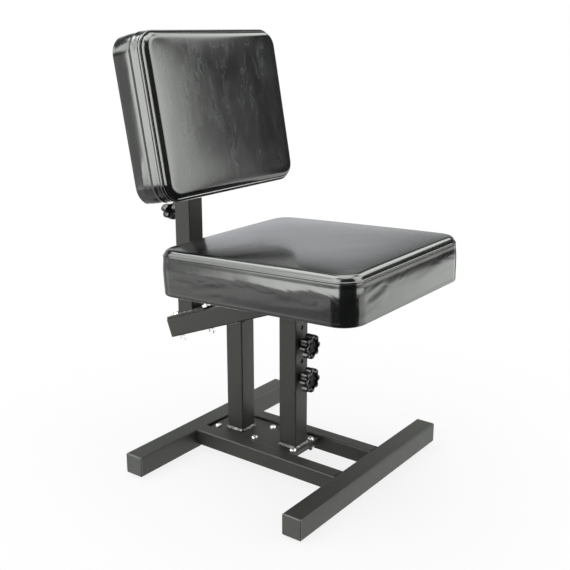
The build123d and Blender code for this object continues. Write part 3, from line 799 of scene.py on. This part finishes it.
def hold_cover(ob, rest, pad):
    """Pins the cover where it is stapled, and less firmly along the seam."""
    held = ob.vertex_groups.new(name="held")
    plan = [size - SIM_SHRINK for size in pad.plan]
    for k, (x, y, z) in enumerate(rest):
        if z < STAPLED_Z:
            held.add([k], 1.0, "REPLACE")
        elif z > pad.thick - 0.0135 and edge_distance(x, y, *plan) < 0.0085:
            held.add([k], 0.85, "REPLACE")


def run_cloth(ob):
    """Runs the cloth and returns where its vertices end."""
    cloth = ob.modifiers.new("cloth", "CLOTH")
    for key, value in CLOTH_SETTINGS.items():
        setattr(cloth.settings, key, value)
    cloth.settings.effector_weights.gravity = 0.0
    cloth.collision_settings.use_collision = False
    cloth.collision_settings.use_self_collision = False
    cloth.point_cache.frame_start = 1
    cloth.point_cache.frame_end = SIM_FRAMES
    for number in range(1, SIM_FRAMES + 1):
        scene.frame_set(number)
    graph = bpy.context.evaluated_depsgraph_get()
    moved = np.array([vert.co for vert in ob.evaluated_get(graph).data.vertices], float)
    scene.frame_set(1)
    return moved


def even_out(move, rest, mesh):
    """Keeps only the broad swell: the cover is drawn smooth over its foam."""
    ends = np.array([edge.vertices[:] for edge in mesh.edges])
    count = np.maximum(np.bincount(ends.ravel(), minlength=len(rest)), 1)[:, None]
    stapled = rest[:, 2] < STAPLED_Z
    for _ in range(60):
        total = np.zeros_like(move)
        np.add.at(total, ends[:, 0], move[ends[:, 1]])
        np.add.at(total, ends[:, 1], move[ends[:, 0]])
        move = total / count
        move[stapled] = 0.0
    return move


def inflate(pad):
    """Swells the cover by foam pressure."""
    ob = blank_cushion(pad)
    remesh(ob)
    rest = np.array([vert.co for vert in ob.data.vertices], float)
    hold_cover(ob, rest, pad)
    move = run_cloth(ob) - rest
    length = np.linalg.norm(move, axis=1)
    limit = MOVE_CAP * np.tanh(length / MOVE_CAP) / np.maximum(length, 1e-9)
    move = even_out(move * limit[:, None], rest, ob.data)
    tree = KDTree(len(rest))
    for k, point in enumerate(rest):
        tree.insert(point, k)
    tree.balance()
    bpy.data.objects.remove(ob)

    def displacement(point):
        """Weighted mean over the eight nearest vertices."""
        weights, moves = 0.0, np.zeros(3)
        for _, k, distance in tree.find_n(point, 8):
            weight = math.exp(-((distance / 0.006) ** 2)) + 1e-6
            weights += weight
            moves += weight * move[k]
        return moves / weights

    return displacement


# ------------------------------------------------------------------ cushion relief
SWELL = 0.12            # share of the simulated swell that is used
BAND_SWELL = 0.6        # of that, the band's share


def band_wrinkle(point, seed):
    """Slanting wrinkles of the band: long swells, finer ones, and a few sharp creases."""
    x, y, z = point
    q = Vector((x * 8 + z * 9 + seed, y * 8 + z * 9, z * 38))
    fine = noise.noise(Vector((q.x * 3.1, q.y * 3.1, q.z * 1.9 + 5)))
    height = noise.noise(q) * 0.7 + fine * 0.3
    line = noise.noise(Vector((x * 22 - z * 26 + seed, y * 22 - z * 26, z * 62)))
    where = smooth(noise.noise(q * 0.6 + Vector((3, 1, 2))) * 2 + 0.5)
    return height - 0.55 * max(0.0, 1 - 5 * abs(line)) * where


def panel_wave(point, seed):
    """Soft unevenness of the panel."""
    q = Vector((point.x * 8 + seed, point.y * 8, seed * 0.3))
    return noise.noise(q) * 0.7 + noise.noise(q * 2.7) * 0.3


def fold_height(point, fold):
    """Height of one fold at a point, fading towards the fold's ends."""
    start, end, width, height = fold
    to_point, line = point - Vector(start), Vector(end) - Vector(start)
    share = min(1.0, max(0.0, to_point.dot(line) / line.length_squared))
    distance = (to_point - line * share).length
    if distance >= width * 3:
        return 0.0
    fade = math.sin(math.pi * min(0.98, max(0.02, share))) ** 0.5
    return height * math.exp(-((distance / width) ** 2)) * fade


def shape_cushion(mesh, pad, displacement):
    """Moves the cover by its simulated swell, then adds wrinkles, unevenness and folds."""
    for vert in mesh.vertices:
        point = vert.co.copy()
        distance = edge_distance(point.x, point.y, *pad.plan)
        out = Vector((*outward(point.x, point.y, *pad.plan), 0))
        on_top = distance > pad.panel_edge and point.z > pad.thick * 0.5
        # share of the band's relief: fades at the hem, below the stitching and past the seam
        side = smooth((point.z - 0.004) / 0.012)
        side *= smooth((pad.stitch_z - 0.003 - point.z) / 0.012)
        side *= smooth((pad.panel_edge - distance) / 0.002)
        if displacement is not None and point.z > 0.004:
            move = Vector(displacement(point))
            if on_top:
                vert.co.z += max(0.0, move.z) * smooth(distance / 0.030) * SWELL
            elif side > 0:
                vert.co += out * max(-0.001, move.dot(out)) * side * SWELL * BAND_SWELL
        if side > 0:
            vert.co += out * side * pad.band_amp * band_wrinkle(point, pad.seed)
        elif on_top:
            wave = panel_wave(point, pad.seed)
            vert.co.z += wave * pad.panel_amp * smooth(distance / 0.045)
        for fold in pad.folds:
            height = fold_height(point, fold)
            if on_top:
                vert.co.z += height
            else:
                vert.co += out * height * (1.0 if side > 0 else 0.35)


# ------------------------------------------------------------------ stitches and staples
STITCH_PITCH, STITCH_LEN, STITCH_R = 0.0046, 0.0030, 0.00040
STITCH_RINGS, STITCH_SIDES = 6, 6


def stitches(pad):
    """One row of thread stitches round a cushion, below its seam."""
    inset = 0.0009 + pad.lean
    # centres of the corner arcs, and the arcs' radius
    arc_r = pad.corner - inset
    arc_x = pad.width / 2 - inset - arc_r
    arc_y = (pad.depth + 2 * pad.ahead) / 2 - inset - arc_r
    quarter = math.pi / 2 * arc_r
    total = 4 * arc_x + 4 * arc_y + 4 * quarter

    def at(s):
        """Point, direction along and direction out at length s from the left front corner."""
        for corner, run in enumerate((2 * arc_x, 2 * arc_y, 2 * arc_x, 2 * arc_y)):
            angle, past, slide = math.radians(90 * (corner - 1)), s - run, 0.0
            if past >= quarter:
                s = past - quarter
                continue
            if past < 0:
                slide = past
            else:
                angle += past / arc_r
            sign_x, sign_y = CORNER_SIGNS[corner]
            centre = Vector((sign_x * arc_x, sign_y * arc_y, pad.stitch_z))
            out = Vector((math.cos(angle), math.sin(angle), 0))
            along = Vector((-math.sin(angle), math.cos(angle), 0))
            return centre + out * arc_r + along * slide, along, out

    bm = bmesh.new()
    up = Vector((0, 0, 1))
    count = int(total / STITCH_PITCH)
    for k in range(count):
        point, along, out = at(k * total / count)
        rings = []
        for i in range(STITCH_RINGS + 1):
            u = -1 + 2 * i / STITCH_RINGS
            centre = point + along * (u * STITCH_LEN / 2) - out * (0.7 * STITCH_R * u * u)
            if i in (0, STITCH_RINGS):
                rings.append([bm.verts.new(centre)])
                continue
            radius = STITCH_R * math.sqrt(1 - abs(u) ** 3.0)
            ring = []
            for j in range(STITCH_SIDES):
                angle = 2 * math.pi * j / STITCH_SIDES
                spoke = out * radius * math.cos(angle) + up * radius * math.sin(angle)
                ring.append(bm.verts.new(centre + spoke))
            rings.append(ring)
        for a, b in zip(rings, rings[1:]):
            join_rings(bm, a, b)
    place(bm, pad.tag + "_topstitch", M_THREAD, pad.body, pad.matrix)


STAPLE_PITCH = 0.034
STAPLE_HALF_WIRE = 0.00055
# Outline of a staple: (along its crown, height); the crown faces down, the legs go up.
STAPLE_OUTLINE = (
    (-0.0052, 0.0006), (-0.0052, -0.0003), (-0.0046, -0.0007), (0.0046, -0.0007),
    (0.0052, -0.0003), (0.0052, 0.0006), (0.0042, 0.0006), (0.0042, 0.0001),
    (-0.0042, 0.0001), (-0.0042, 0.0006),
)


def staple_spots(half_w, half_d):
    """(x, y, angle) of the staples, set in by hand: small turns and uneven spacing."""
    spots = []
    for side in range(4):
        across, along = ((half_d, half_w), (half_w, half_d))[side % 2]
        run = along - 0.03
        count = int(2 * run / STAPLE_PITCH)
        for k in range(count + 1):
            s = -run + 2 * run * k / count
            jitter = noise.noise(Vector((s * 50, side * 3.0, 7.0)))
            s += jitter * 0.008
            off = across + noise.noise(Vector((s * 60, side * 5.0, 9.0))) * 0.003
            x, y = ((s, -off), (off, s), (s, off), (-off, s))[side]
            spots.append((x, y, (math.pi / 2 if side % 2 else 0) + jitter * 0.7))
    return spots


def staples(pad):
    """Flat wire staples round the hem."""
    bm = bmesh.new()
    for x, y, angle in staple_spots(pad.width / 2 - STAPLE_INSET, pad.depth / 2 - STAPLE_INSET):
        cos, sin = math.cos(angle), math.sin(angle)
        near, far = [
            [bm.verts.new((x + u * cos - off * sin, y + u * sin + off * cos, z))
             for u, z in STAPLE_OUTLINE]
            for off in (-STAPLE_HALF_WIRE, STAPLE_HALF_WIRE)
        ]
        join_rings(bm, near, far)
        bm.faces.new(near)
        bm.faces.new(far[::-1])
    matrix = pad.matrix @ Matrix.Translation((0, 0, -pad.rim))
    place(bm, pad.tag + "_staples", M_ZINC, pad.body, matrix, shade_smooth=False)


# ------------------------------------------------------------------ the two cushions
def cushion(pad):
    """The sewn cushion, its row of topstitching and its staples."""
    ob = cushion_mesh(pad)
    shape_cushion(ob.data, pad, inflate(pad))
    ob.data.transform(pad.matrix)
    ob.data.materials.append(M_VINYL)
    for face in ob.data.polygons:
        face.use_smooth = True
    subdivision = ob.modifiers.new("subdivision", "SUBSURF")
    subdivision.levels = subdivision.render_levels = 1
    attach(ob, pad.body)
    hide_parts(*pad.hides)
    stitches(pad)
    staples(pad)


# Folds of the bands in each pad's own frame: (from, to, half width, height).
LEFT, FRONT = -SEAT_W / 2, -SEAT_D / 2
SEAT_FOLDS = (
    ((LEFT, 0.175, 0.050), (LEFT, 0.020, 0.034), 0.0090, 0.0004),
    ((LEFT, 0.110, 0.024), (LEFT, -0.030, 0.040), 0.0085, -0.0004),
    ((LEFT, 0.010, 0.052), (LEFT, -0.120, 0.036), 0.0085, 0.0004),
    ((LEFT, -0.105, 0.046), (LEFT, -0.172, 0.038), 0.0085, -0.0005),
    ((LEFT, -0.060, 0.016), (LEFT, -0.170, 0.022), 0.0060, 0.0002),
    ((LEFT + 0.034, FRONT, 0.036), (LEFT + 0.105, FRONT, 0.050), 0.0060, -0.0005),
    ((LEFT + 0.034, FRONT, 0.050), (LEFT + 0.085, FRONT, 0.058), 0.0045, -0.0002),
    ((LEFT + 0.030, FRONT, 0.020), (LEFT + 0.110, FRONT, 0.036), 0.0065, 0.0005),
    ((LEFT + 0.200, FRONT, 0.030), (LEFT + 0.340, FRONT, 0.048), 0.0090, 0.0003),
)
BACK_LEFT = -BACK_W / 2
BACK_FOLDS = (
    ((BACK_LEFT, -0.145, 0.018), (BACK_LEFT, -0.070, 0.024), 0.0060, 0.0007),
    ((BACK_LEFT, 0.020, 0.016), (BACK_LEFT, 0.110, 0.024), 0.0070, -0.0003),
)
BACK_TAPER = 0.0016

cushion(Pad(
    tag="seat", body="seat", hides=("seat_cover", "seat_foam"), matrix=SEAT_M,
    width=SEAT_W + 0.003, depth=SEAT_D + 0.003, corner=0.041, thick=SEAT_T,
    roll=0.0086, run=0.0100, crown=0.0066, dome_power=(4.5, 4.5), roll_power=(1.9, 0.68),
    lean=0.0014, seam_gap=0.0032, ahead=0.0009, panel_edge=0.0045,
    lip=LOW_LIP, stitch_drop=0.0038, rim=0.0028,
    crackle=0.35, band_amp=0.00030, panel_amp=0.0004, seed=11.3, folds=SEAT_FOLDS,
))
cushion(Pad(
    tag="back", body="backrest", hides=("back_cover", "back_foam"), matrix=BACK_M,
    width=BACK_W + 0.004, depth=BACK_H + 0.006, corner=0.038, thick=BACK_T,
    roll=0.0122, run=0.0115, crown=0.0074, dome_power=(2.4, 5.0), roll_power=(2.2, 0.56),
    lean=BACK_TAPER, seam_gap=0.0048, ahead=0.0, panel_edge=0.0046 + BACK_TAPER,
    lip=TALL_LIP, stitch_drop=0.0050, rim=0.0004,
    crackle=1.0, band_amp=0.00010, panel_amp=0.0003, seed=4.7, folds=BACK_FOLDS,
    taper=BACK_TAPER, crease=0.53,
))


# ------------------------------------------------------------------ welds
WELD_PITCH = 0.0030     # length of one ripple
WELD_SINK = 0.0004      # how far the bead's root lies inside the metal
WELD_ARC = 7            # segments across the bead


def weld_bead(name, path, size, seed, closed=False, hides=()):
    """A rippled fillet weld along path, a list of (point, direction of leg a, of leg b)."""
    points = [Vector(point) for point, _, _ in path]
    lengths = [0.0]
    for a, b in zip(points, points[1:] + ([points[0]] if closed else [])):
        lengths.append(lengths[-1] + (b - a).length)
    total = lengths[-1]
    starts = len(points) if closed else len(points) - 1
    count = max(12, int(total / (WELD_PITCH / 6)))
    bm = bmesh.new()
    rings = []
    for k in range(count if closed else count + 1):
        s = total * k / count
        i = max(j for j in range(starts) if lengths[j] <= s + 1e-12)
        i2 = (i + 1) % len(points)
        share = (s - lengths[i]) / max(1e-9, lengths[i + 1] - lengths[i])
        point = points[i].lerp(points[i2], share)
        leg_a = Vector(path[i][1]).lerp(Vector(path[i2][1]), share).normalized()
        leg_b = Vector(path[i][2]).lerp(Vector(path[i2][2]), share).normalized()
        wobble = 1 + 0.10 * noise.noise(Vector((s * 130, seed, 0)))
        end = 1.0 if closed else min(1.0, 0.25 + min(s, total - s) / 0.004)
        row = [point - leg_a * WELD_SINK - leg_b * WELD_SINK]
        for j in range(WELD_ARC + 1):
            angle = math.pi / 2 * j / WELD_ARC
            bowed = math.sin(2 * angle)     # ripples bow along the bead in its middle
            phase = (s - 0.0011 * bowed) / WELD_PITCH + seed
            phase -= math.floor(phase)
            wave = math.sin(math.pi * phase) ** 0.7 - 0.5
            ripple = 1 + 0.16 * wave * (0.35 + 0.65 * bowed)
            section = 0.72 + 0.28 * abs(math.cos(2 * angle))
            radius = size * section * wobble * ripple * end
            row.append(point + leg_a * radius * math.cos(angle) + leg_b * radius * math.sin(angle))
        rings.append([bm.verts.new(co) for co in row])
    for a, b in zip(rings, rings[1:]):
        join_rings(bm, a, b, flipped=True)
    if closed:
        join_rings(bm, rings[-1], rings[0], flipped=True)
    else:
        bm.faces.new(rings[0])
        bm.faces.new(rings[-1][::-1])
    ob = place(bm, name, M_WELD, "frame")
    if hides:
        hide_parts(*hides)


POST_HALF, POST_R = 0.020, 0.003    # square posts: half width and corner radius
PLATE_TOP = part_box("stand_foot_plate")[1].z
post_lo, post_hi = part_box("front_post")
FRONT_POST_Y = (post_lo.y + post_hi.y) / 2
REAR_POST_Y = MID_Y + 0.0659

# The rail falls towards the rear. It sits on the rear post and its front end meets the front post.
SLOPE = math.radians(20.93)
SIN, COS = math.sin(SLOPE), math.cos(SLOPE)
RAIL_Y, RAIL_Z = MID_Y + 0.2359, 0.2018     # a point on the rail's underside
RAIL_H = 0.040
RAIL_WELD_HALF = 0.0175                     # half length of the beads across the rail
BACK_POST_Y = MID_Y + 0.1955
UP, DOWN = (0, 0, 1), (0, 0, -1)
RAIL_REARWARD, RAIL_FORWARD = (0, COS, -SIN), (0, -COS, SIN)


def under_rail(y):
    return RAIL_Z - (y - RAIL_Y) * SIN / COS


def over_rail(y):
    return under_rail(y) + RAIL_H / COS


def foot_path(centre_y, height_at, sin=0.0, cos=1.0, squeeze=1.0):
    """Path round a square post at its foot, on a plate that falls rearwards."""
    plan = (POST_HALF, POST_HALF, POST_R)
    path = []
    for x, y in rounded_outline(*plan, steps=5):
        out_x, out_y = outward(x, y, *plan)
        point = (x * squeeze, centre_y + y, height_at(centre_y + y))
        path.append((point, (out_x, out_y * cos, -out_y * sin), UP))
    return path


def across_path(y, z, leg_a, leg_b):
    """Straight path from left to right."""
    half = RAIL_WELD_HALF
    return [((-half + 2 * half * k / 8, y, z), leg_a, leg_b) for k in range(9)]


def rail_welds():
    """The beads round the rail's seat on the rear post and round its front end."""
    front = FRONT_POST_Y + POST_HALF
    rear_lo, rear_hi = REAR_POST_Y - POST_HALF, REAR_POST_Y + POST_HALF
    beads = (               # name, y, z, leg a, leg b, size, seed
        ("rail_weld_front", rear_lo, under_rail(rear_lo), RAIL_FORWARD, DOWN, 0.0040, 0.7),
        ("rail_weld_rear", rear_hi, under_rail(rear_hi), RAIL_REARWARD, DOWN, 0.0036, 2.2),
        ("rail_front_weld_top", front, over_rail(front), UP, RAIL_REARWARD, 0.0040, 3.1),
        ("rail_front_weld_bottom", front, under_rail(front), DOWN, RAIL_REARWARD, 0.0036, 4.4),
    )
    for name, y, z, leg_a, leg_b, size, seed in beads:
        weld_bead(name, across_path(y, z, leg_a, leg_b), size=size, seed=seed)
    low, high = under_rail(front) + 0.003, over_rail(front) - 0.003
    for side, tag in ((-1, "left"), (1, "right")):
        x = side * POST_HALF
        path = [
            ((x, front, low + (high - low) * k / 8), (side, 0.25, 0), (side * 0.3, -1, 0))
            for k in range(9)
        ]
        weld_bead("rail_front_weld_" + tag, path, size=0.0016, seed=5.0 + side)
        path = []
        for k in range(9):
            y = REAR_POST_Y - 0.0165 + 0.033 * k / 8
            legs = ((side * 0.8, SIN * 0.6, COS * 0.6), (side * 0.8, 0, -0.6))
            path.append(((x, y, under_rail(y)), *legs))
        weld_bead("rail_post_weld_" + tag, path, size=0.0014, seed=7.0 + side)


def back_plate_top(y):
    """Top of the back post's foot plate, which lies on the rail."""
    plate_thick = 0.004
    plate_y = BACK_POST_Y + SIN * plate_thick
    return over_rail(BACK_POST_Y) + COS * plate_thick - (y - plate_y) * SIN / COS


weld_bead(
    "front_post_foot_weld", foot_path(FRONT_POST_Y, lambda y: PLATE_TOP),
    size=0.0042, seed=0.3, closed=True, hides=("post_foot_welds",),
)
weld_bead(
    "rear_post_foot_weld", foot_path(REAR_POST_Y, lambda y: PLATE_TOP),
    size=0.0042, seed=1.9, closed=True,
)
rail_welds()
weld_bead(
    "back_post_foot_weld", foot_path(BACK_POST_Y, back_plate_top, sin=SIN, cos=COS, squeeze=0.985),
    size=0.0030, seed=6.1, closed=True, hides=("back_foot_weld",),
)


# ------------------------------------------------------------------ hand knobs
MM = 0.001
KNOB_SIDES, KNOB_LOBES = 128, 8
KNOB_R, LOBE_DEPTH = 25.0, 5.0      # outline of the lobes, in millimetres
# Rings of a knob in millimetres: (radius, or offset from the lobed outline where the share isn't
# 0; depth from the hub's face; share of the lobes).
KNOB_ROWS = (
    # stud bore and hub
    (0.0, 18.1, 0), (3.4, 18.1, 0), (4.15, 18.0, 0), (4.15, 0.5, 0), (4.6, 0.0, 0),
    (8.4, 0.0, 0), (9.3, 0.8, 0), (9.6, 4.0, 0), (9.9, 8.6, 0), (10.9, 9.8, 0), (14.0, 10.0, 0),
    # lobed grip
    (-3.2, 10.0, 0.85), (-1.7, 10.3, 0.95), (-0.6, 11.2, 1), (0.0, 13.0, 1), (0.0, 16.5, 1),
    (0.0, 20.4, 1), (-0.35, 22.6, 1), (-1.1, 24.6, 1), (-2.2, 26.0, 1), (-3.6, 26.8, 0.97),
    (-4.9, 27.0, 0.93), (-6.1, 26.85, 0.85),
    # dish and its raised cap
    (-7.0, 26.2, 0.75), (-7.6, 24.9, 0.65), (-8.1, 22.9, 0.55), (-8.8, 21.5, 0.45),
    (-10.2, 21.0, 0.3), (10.0, 20.8, 0), (7.4, 20.75, 0), (6.9, 21.0, 0), (6.6, 21.9, 0),
    (5.8, 22.5, 0), (3.0, 22.7, 0), (0.0, 22.75, 0),
)
DISH_ROW = 23                       # the dish's darker material, painted shade for the recess, starts at this ring


def knob(node, side):
    """A moulded star knob in place of its CAD piece; side is the sign of Y it points to."""
    lo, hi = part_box(node)
    centre_x, centre_z = (lo.x + hi.x) / 2, (lo.z + hi.z) / 2
    hub_y = hi.y if side < 0 else lo.y
    bm = bmesh.new()
    rings = []
    for radius, depth, share in KNOB_ROWS:
        y = hub_y + side * depth * MM
        if radius == 0 and share == 0:
            rings.append([bm.verts.new((centre_x, y, centre_z))])
            continue
        ring = []
        for k in range(KNOB_SIDES):
            angle = 2 * math.pi * k / KNOB_SIDES
            valley = ((1 - math.cos(KNOB_LOBES * angle)) / 2) ** 1.5
            reach = KNOB_R - LOBE_DEPTH * valley * share + radius if share else radius
            x = centre_x + reach * math.cos(angle) * MM
            z = centre_z + reach * math.sin(angle) * MM
            ring.append(bm.verts.new((x, y, z)))
        rings.append(ring)
    for i, (a, b) in enumerate(zip(rings, rings[1:])):
        for face in join_rings(bm, a, b):
            face.material_index = 1 if i >= DISH_ROW else 0
    ob = place(bm, node + "_grip", M_KNOB, node)
    # second material: the darker dish, painted shade for the recess
    ob.data.materials.append(M_SHADED_DISH)
    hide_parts(node)


knob("seat_knob_upper", side=-1)
knob("seat_knob_lower", side=-1)
knob("back_knob", side=1)


# ------------------------------------------------------------------ floor
FLOOR_HALF = 9.0


def floor_material():
    """Pale grey that fades into white away from the chair, so that no horizon shows."""
    mat = Material("pale_floor")
    drift = mat.ramp(mat.noise(scale=0.8), (0.3, 0.0), (0.7, 1.0))
    mat.surface(Base_Color=mat.mix(drift, (0.84, 0.84, 0.84), (0.86, 0.86, 0.86)), Roughness=0.8)
    white = mat.node("ShaderNodeEmission", {"Color": (1, 1, 1)})
    length = mat.node("ShaderNodeVectorMath", {0: mat.coords}, operation="LENGTH")
    distance = mat.math("DIVIDE", length.outputs["Value"], 4.0)
    far = mat.ramp(distance, (0.08, 0.84), (0.22, 1.0))
    blend = mat.node(
        "ShaderNodeMixShader", {0: far, 1: mat.principled.outputs[0], 2: white.outputs[0]}
    )
    mat.feed(mat.output.inputs[0], blend.outputs[0])
    return mat.material


def floor_plane():
    mesh = bpy.data.meshes.new("floor")
    corners = [(sx * FLOOR_HALF, sy * FLOOR_HALF, 0) for sx, sy in
               ((-1, -1), (1, -1), (1, 1), (-1, 1))]
    mesh.from_pydata(corners, [], [(0, 1, 2, 3)])
    mesh.materials.append(floor_material())
    ob = bpy.data.objects.new("floor", mesh)
    scene.collection.objects.link(ob)
    ob.visible_glossy = False


floor_plane()

# ------------------------------------------------------------------ world
# Soft-edged studio panels seen in reflections, in degrees:
# (azimuth from +X), (softness of its ends), (elevation), (softness of its ends), brightness
PANELS = (
    ((22, 105), (14, 8), (-3, 23), (4, 9), 0.86),           # backdrop, behind and right
    ((-10, 30), (12, 10), (-3, 13), (4, 5), 0.50),          # low, right
    ((22, 112), (14, 10), (-60, -2), (4, 4), 0.60),         # floor, behind and right
    ((20, 56), (6, 6), (-52, -20), (5, 5), 3.2),            # bright patch of that floor
    ((-76, -7), (2.5, 6), (-60, -9), (3, 3), 1.7),          # lit floor, right and in front
    ((-76, -7), (2.5, 6), (-21, -10), (4, 4), 2.5),         # its far strip
    ((104, 148), (8, 4), (-60, -10), (3, 3), 0.85),         # lit floor, left and behind
    ((104, 148), (8, 4), (-21, -10), (4, 3), 1.95),         # its far strip
    ((100, 150), (8, 4), (-10, 2), (2, 3), 1.05),           # low wall, left and behind
    ((141, 188), (2.5, 5), (-9, 48), (2, 3), 9.0),          # tall softbox on the left
    ((84, 150), (8, 8), (42, 72), (5, 5), 10.0),            # high softbox, left and behind
    ((-180, 180), (0.1, 0.1), (62, 95), (6, 1), 8.0),       # overhead, all round
    ((-60, 4), (8, 8), (26, 48), (2.5, 6), 5.5),            # its lower edge, right and in front
    ((-88, -39), (3, 5), (24, 60), (4, 6), 7.5),            # high, in front
    ((112, 147), (6, 4), (12, 48), (5, 5), 5.5),            # between left and high softbox
    ((-10, 50), (10, 10), (40, 62), (4, 6), 4.0),           # high, right
    ((-88, -50), (3, 8), (-4, 36), (3, 8), 7.0),            # large soft light in front
    ((-88, -45), (3, 8), (-8, 6), (3, 5), 5.5),             # its low end
    ((-62, -26), (8, 14), (-3, 30), (3, 8), 0.12),          # dim, right and in front
)

world = bpy.data.worlds.new("studio")
scene.world = world
sky = Shader(world)


def sky_math(operation, a, b=0.0, c=0.0):
    return sky.math(operation, a, b, c)


def sky_step(value, start, end):
    """Smoothly from 0 at start to 1 at end; falls from 1 to 0 with value if start > end."""
    made = sky.node("ShaderNodeMapRange", interpolation_type="SMOOTHSTEP")
    sky.feed(made.inputs["Value"], value)
    made.inputs["From Min"].default_value = min(start, end)
    made.inputs["From Max"].default_value = max(start, end)
    made.inputs["To Min"].default_value = 0 if start < end else 1
    made.inputs["To Max"].default_value = 1 if start < end else 0
    return made.outputs["Result"]


def sky_panel(azimuth, elevation, row):
    """Brightness of one row of PANELS."""
    (az_lo, az_hi), (az_soft_lo, az_soft_hi), (el_lo, el_hi), (el_soft_lo, el_soft_hi), level = row
    middle, half = (az_lo + az_hi) / 2, (az_hi - az_lo) / 2
    turn = sky_math("WRAP", sky_math("SUBTRACT", azimuth, middle), 180.0, -180.0)
    mask = sky_math(
        "MULTIPLY",
        sky_step(turn, -half - az_soft_lo, -half + az_soft_lo),
        sky_step(turn, half + az_soft_hi, half - az_soft_hi),
    )
    bottom = sky_step(elevation, el_lo - el_soft_lo, el_lo + el_soft_lo)
    mask = sky_math("MULTIPLY", mask, bottom)
    top = sky_step(elevation, el_hi + el_soft_hi, el_hi - el_soft_hi)
    mask = sky_math("MULTIPLY", mask, top)
    return sky_math("MULTIPLY", mask, level)


def studio_world():
    """Plain white to the camera, plain light to surfaces, studio panels to reflections."""
    output = sky.node("ShaderNodeOutputWorld")
    background = sky.node("ShaderNodeBackground")
    sky.feed(output.inputs[0], background.outputs[0])
    generated = sky.node("ShaderNodeTexCoord").outputs["Generated"]
    ray = sky.node("ShaderNodeSeparateXYZ", {0: generated}).outputs
    degrees = 180 / math.pi
    azimuth = sky_math("MULTIPLY", sky_math("ARCTAN2", ray["Y"], ray["X"]), degrees)
    elevation = sky_math("MULTIPLY", sky_math("ARCSINE", ray["Z"]), degrees)

    panels = [sky_panel(azimuth, elevation, row) for row in PANELS]
    total = panels[0]
    for extra in panels[1:]:
        total = sky_math("MAXIMUM", total, extra)
    total = sky_math("MAXIMUM", total, 0.0)
    # dim fill of the room: above the horizon, and all round
    fill = sky_math("ADD", sky_math("MULTIPLY", sky_step(elevation, -6, 4), 0.12), 0.012)
    total = sky_math("MAXIMUM", total, fill)

    path = sky.node("ShaderNodeLightPath").outputs
    # strength 1 to the camera, 0.4 as light on surfaces
    plain = sky_math("ADD", sky_math("MULTIPLY", path["Is Camera Ray"], 0.60), 0.40)
    strength = sky.node(
        "ShaderNodeMix", {0: path["Is Glossy Ray"], 2: plain, 3: total}, data_type="FLOAT"
    )
    sky.feed(background.inputs[1], strength.outputs[0])
    # reflections of the room are a little green, those of the backdrop a little blue
    on_backdrop = sky_math("MINIMUM", panels[0], 1.0)
    tint = sky.mix(on_backdrop, (0.975, 1.0, 0.965), (0.965, 0.980, 1.03))
    sky.feed(background.inputs[0], sky.mix(path["Is Glossy Ray"], (1, 1, 1), tint))


studio_world()
world.cycles.sampling_method = "NONE"


# ------------------------------------------------------------------ lights and camera
def area(name, location, target, size, power):
    """Rectangular light of (width, height), aimed at target and unseen in reflections."""
    light = bpy.data.lights.new(name, "AREA")
    light.shape = "RECTANGLE"
    light.size, light.size_y = size
    light.energy = power
    ob = bpy.data.objects.new(name, light)
    scene.collection.objects.link(ob)
    ob.location = location
    aim = Vector(target) - Vector(location)
    ob.rotation_euler = aim.to_track_quat("-Z", "Y").to_euler()
    ob.visible_glossy = False


area("top_softbox", location=(0.1, 0.3, 2.4), target=(0, 0, 0.3), size=(2.2, 2.2), power=34)
area("left_softbox", location=(-2.2, 0.7, 1.1), target=(0, 0.05, 0.45), size=(1.3, 1.6), power=20)
area("front_strip", location=(0.7, -2.2, 0.9), target=(0, -0.2, 0.35), size=(0.9, 1.4), power=9)

# The camera looks from the front left, a little down.
CAMERA_PLACE = (-1.30819, -0.98214, 0.83083)
CAMERA_DOWN, CAMERA_TURN = 16.11, -53.45    # degrees below level, and about Z from +Y

camera_data = bpy.data.cameras.new("camera")
camera_data.lens = 56.592
camera_data.sensor_width = 36
camera = bpy.data.objects.new("camera", camera_data)
scene.collection.objects.link(camera)
camera.location = CAMERA_PLACE
camera.rotation_euler = (math.radians(90 - CAMERA_DOWN), 0, math.radians(CAMERA_TURN))
scene.camera = camera
scene.view_settings.view_transform = "Standard"
scene.view_settings.look = "None"

bpy.context.view_layer.update()
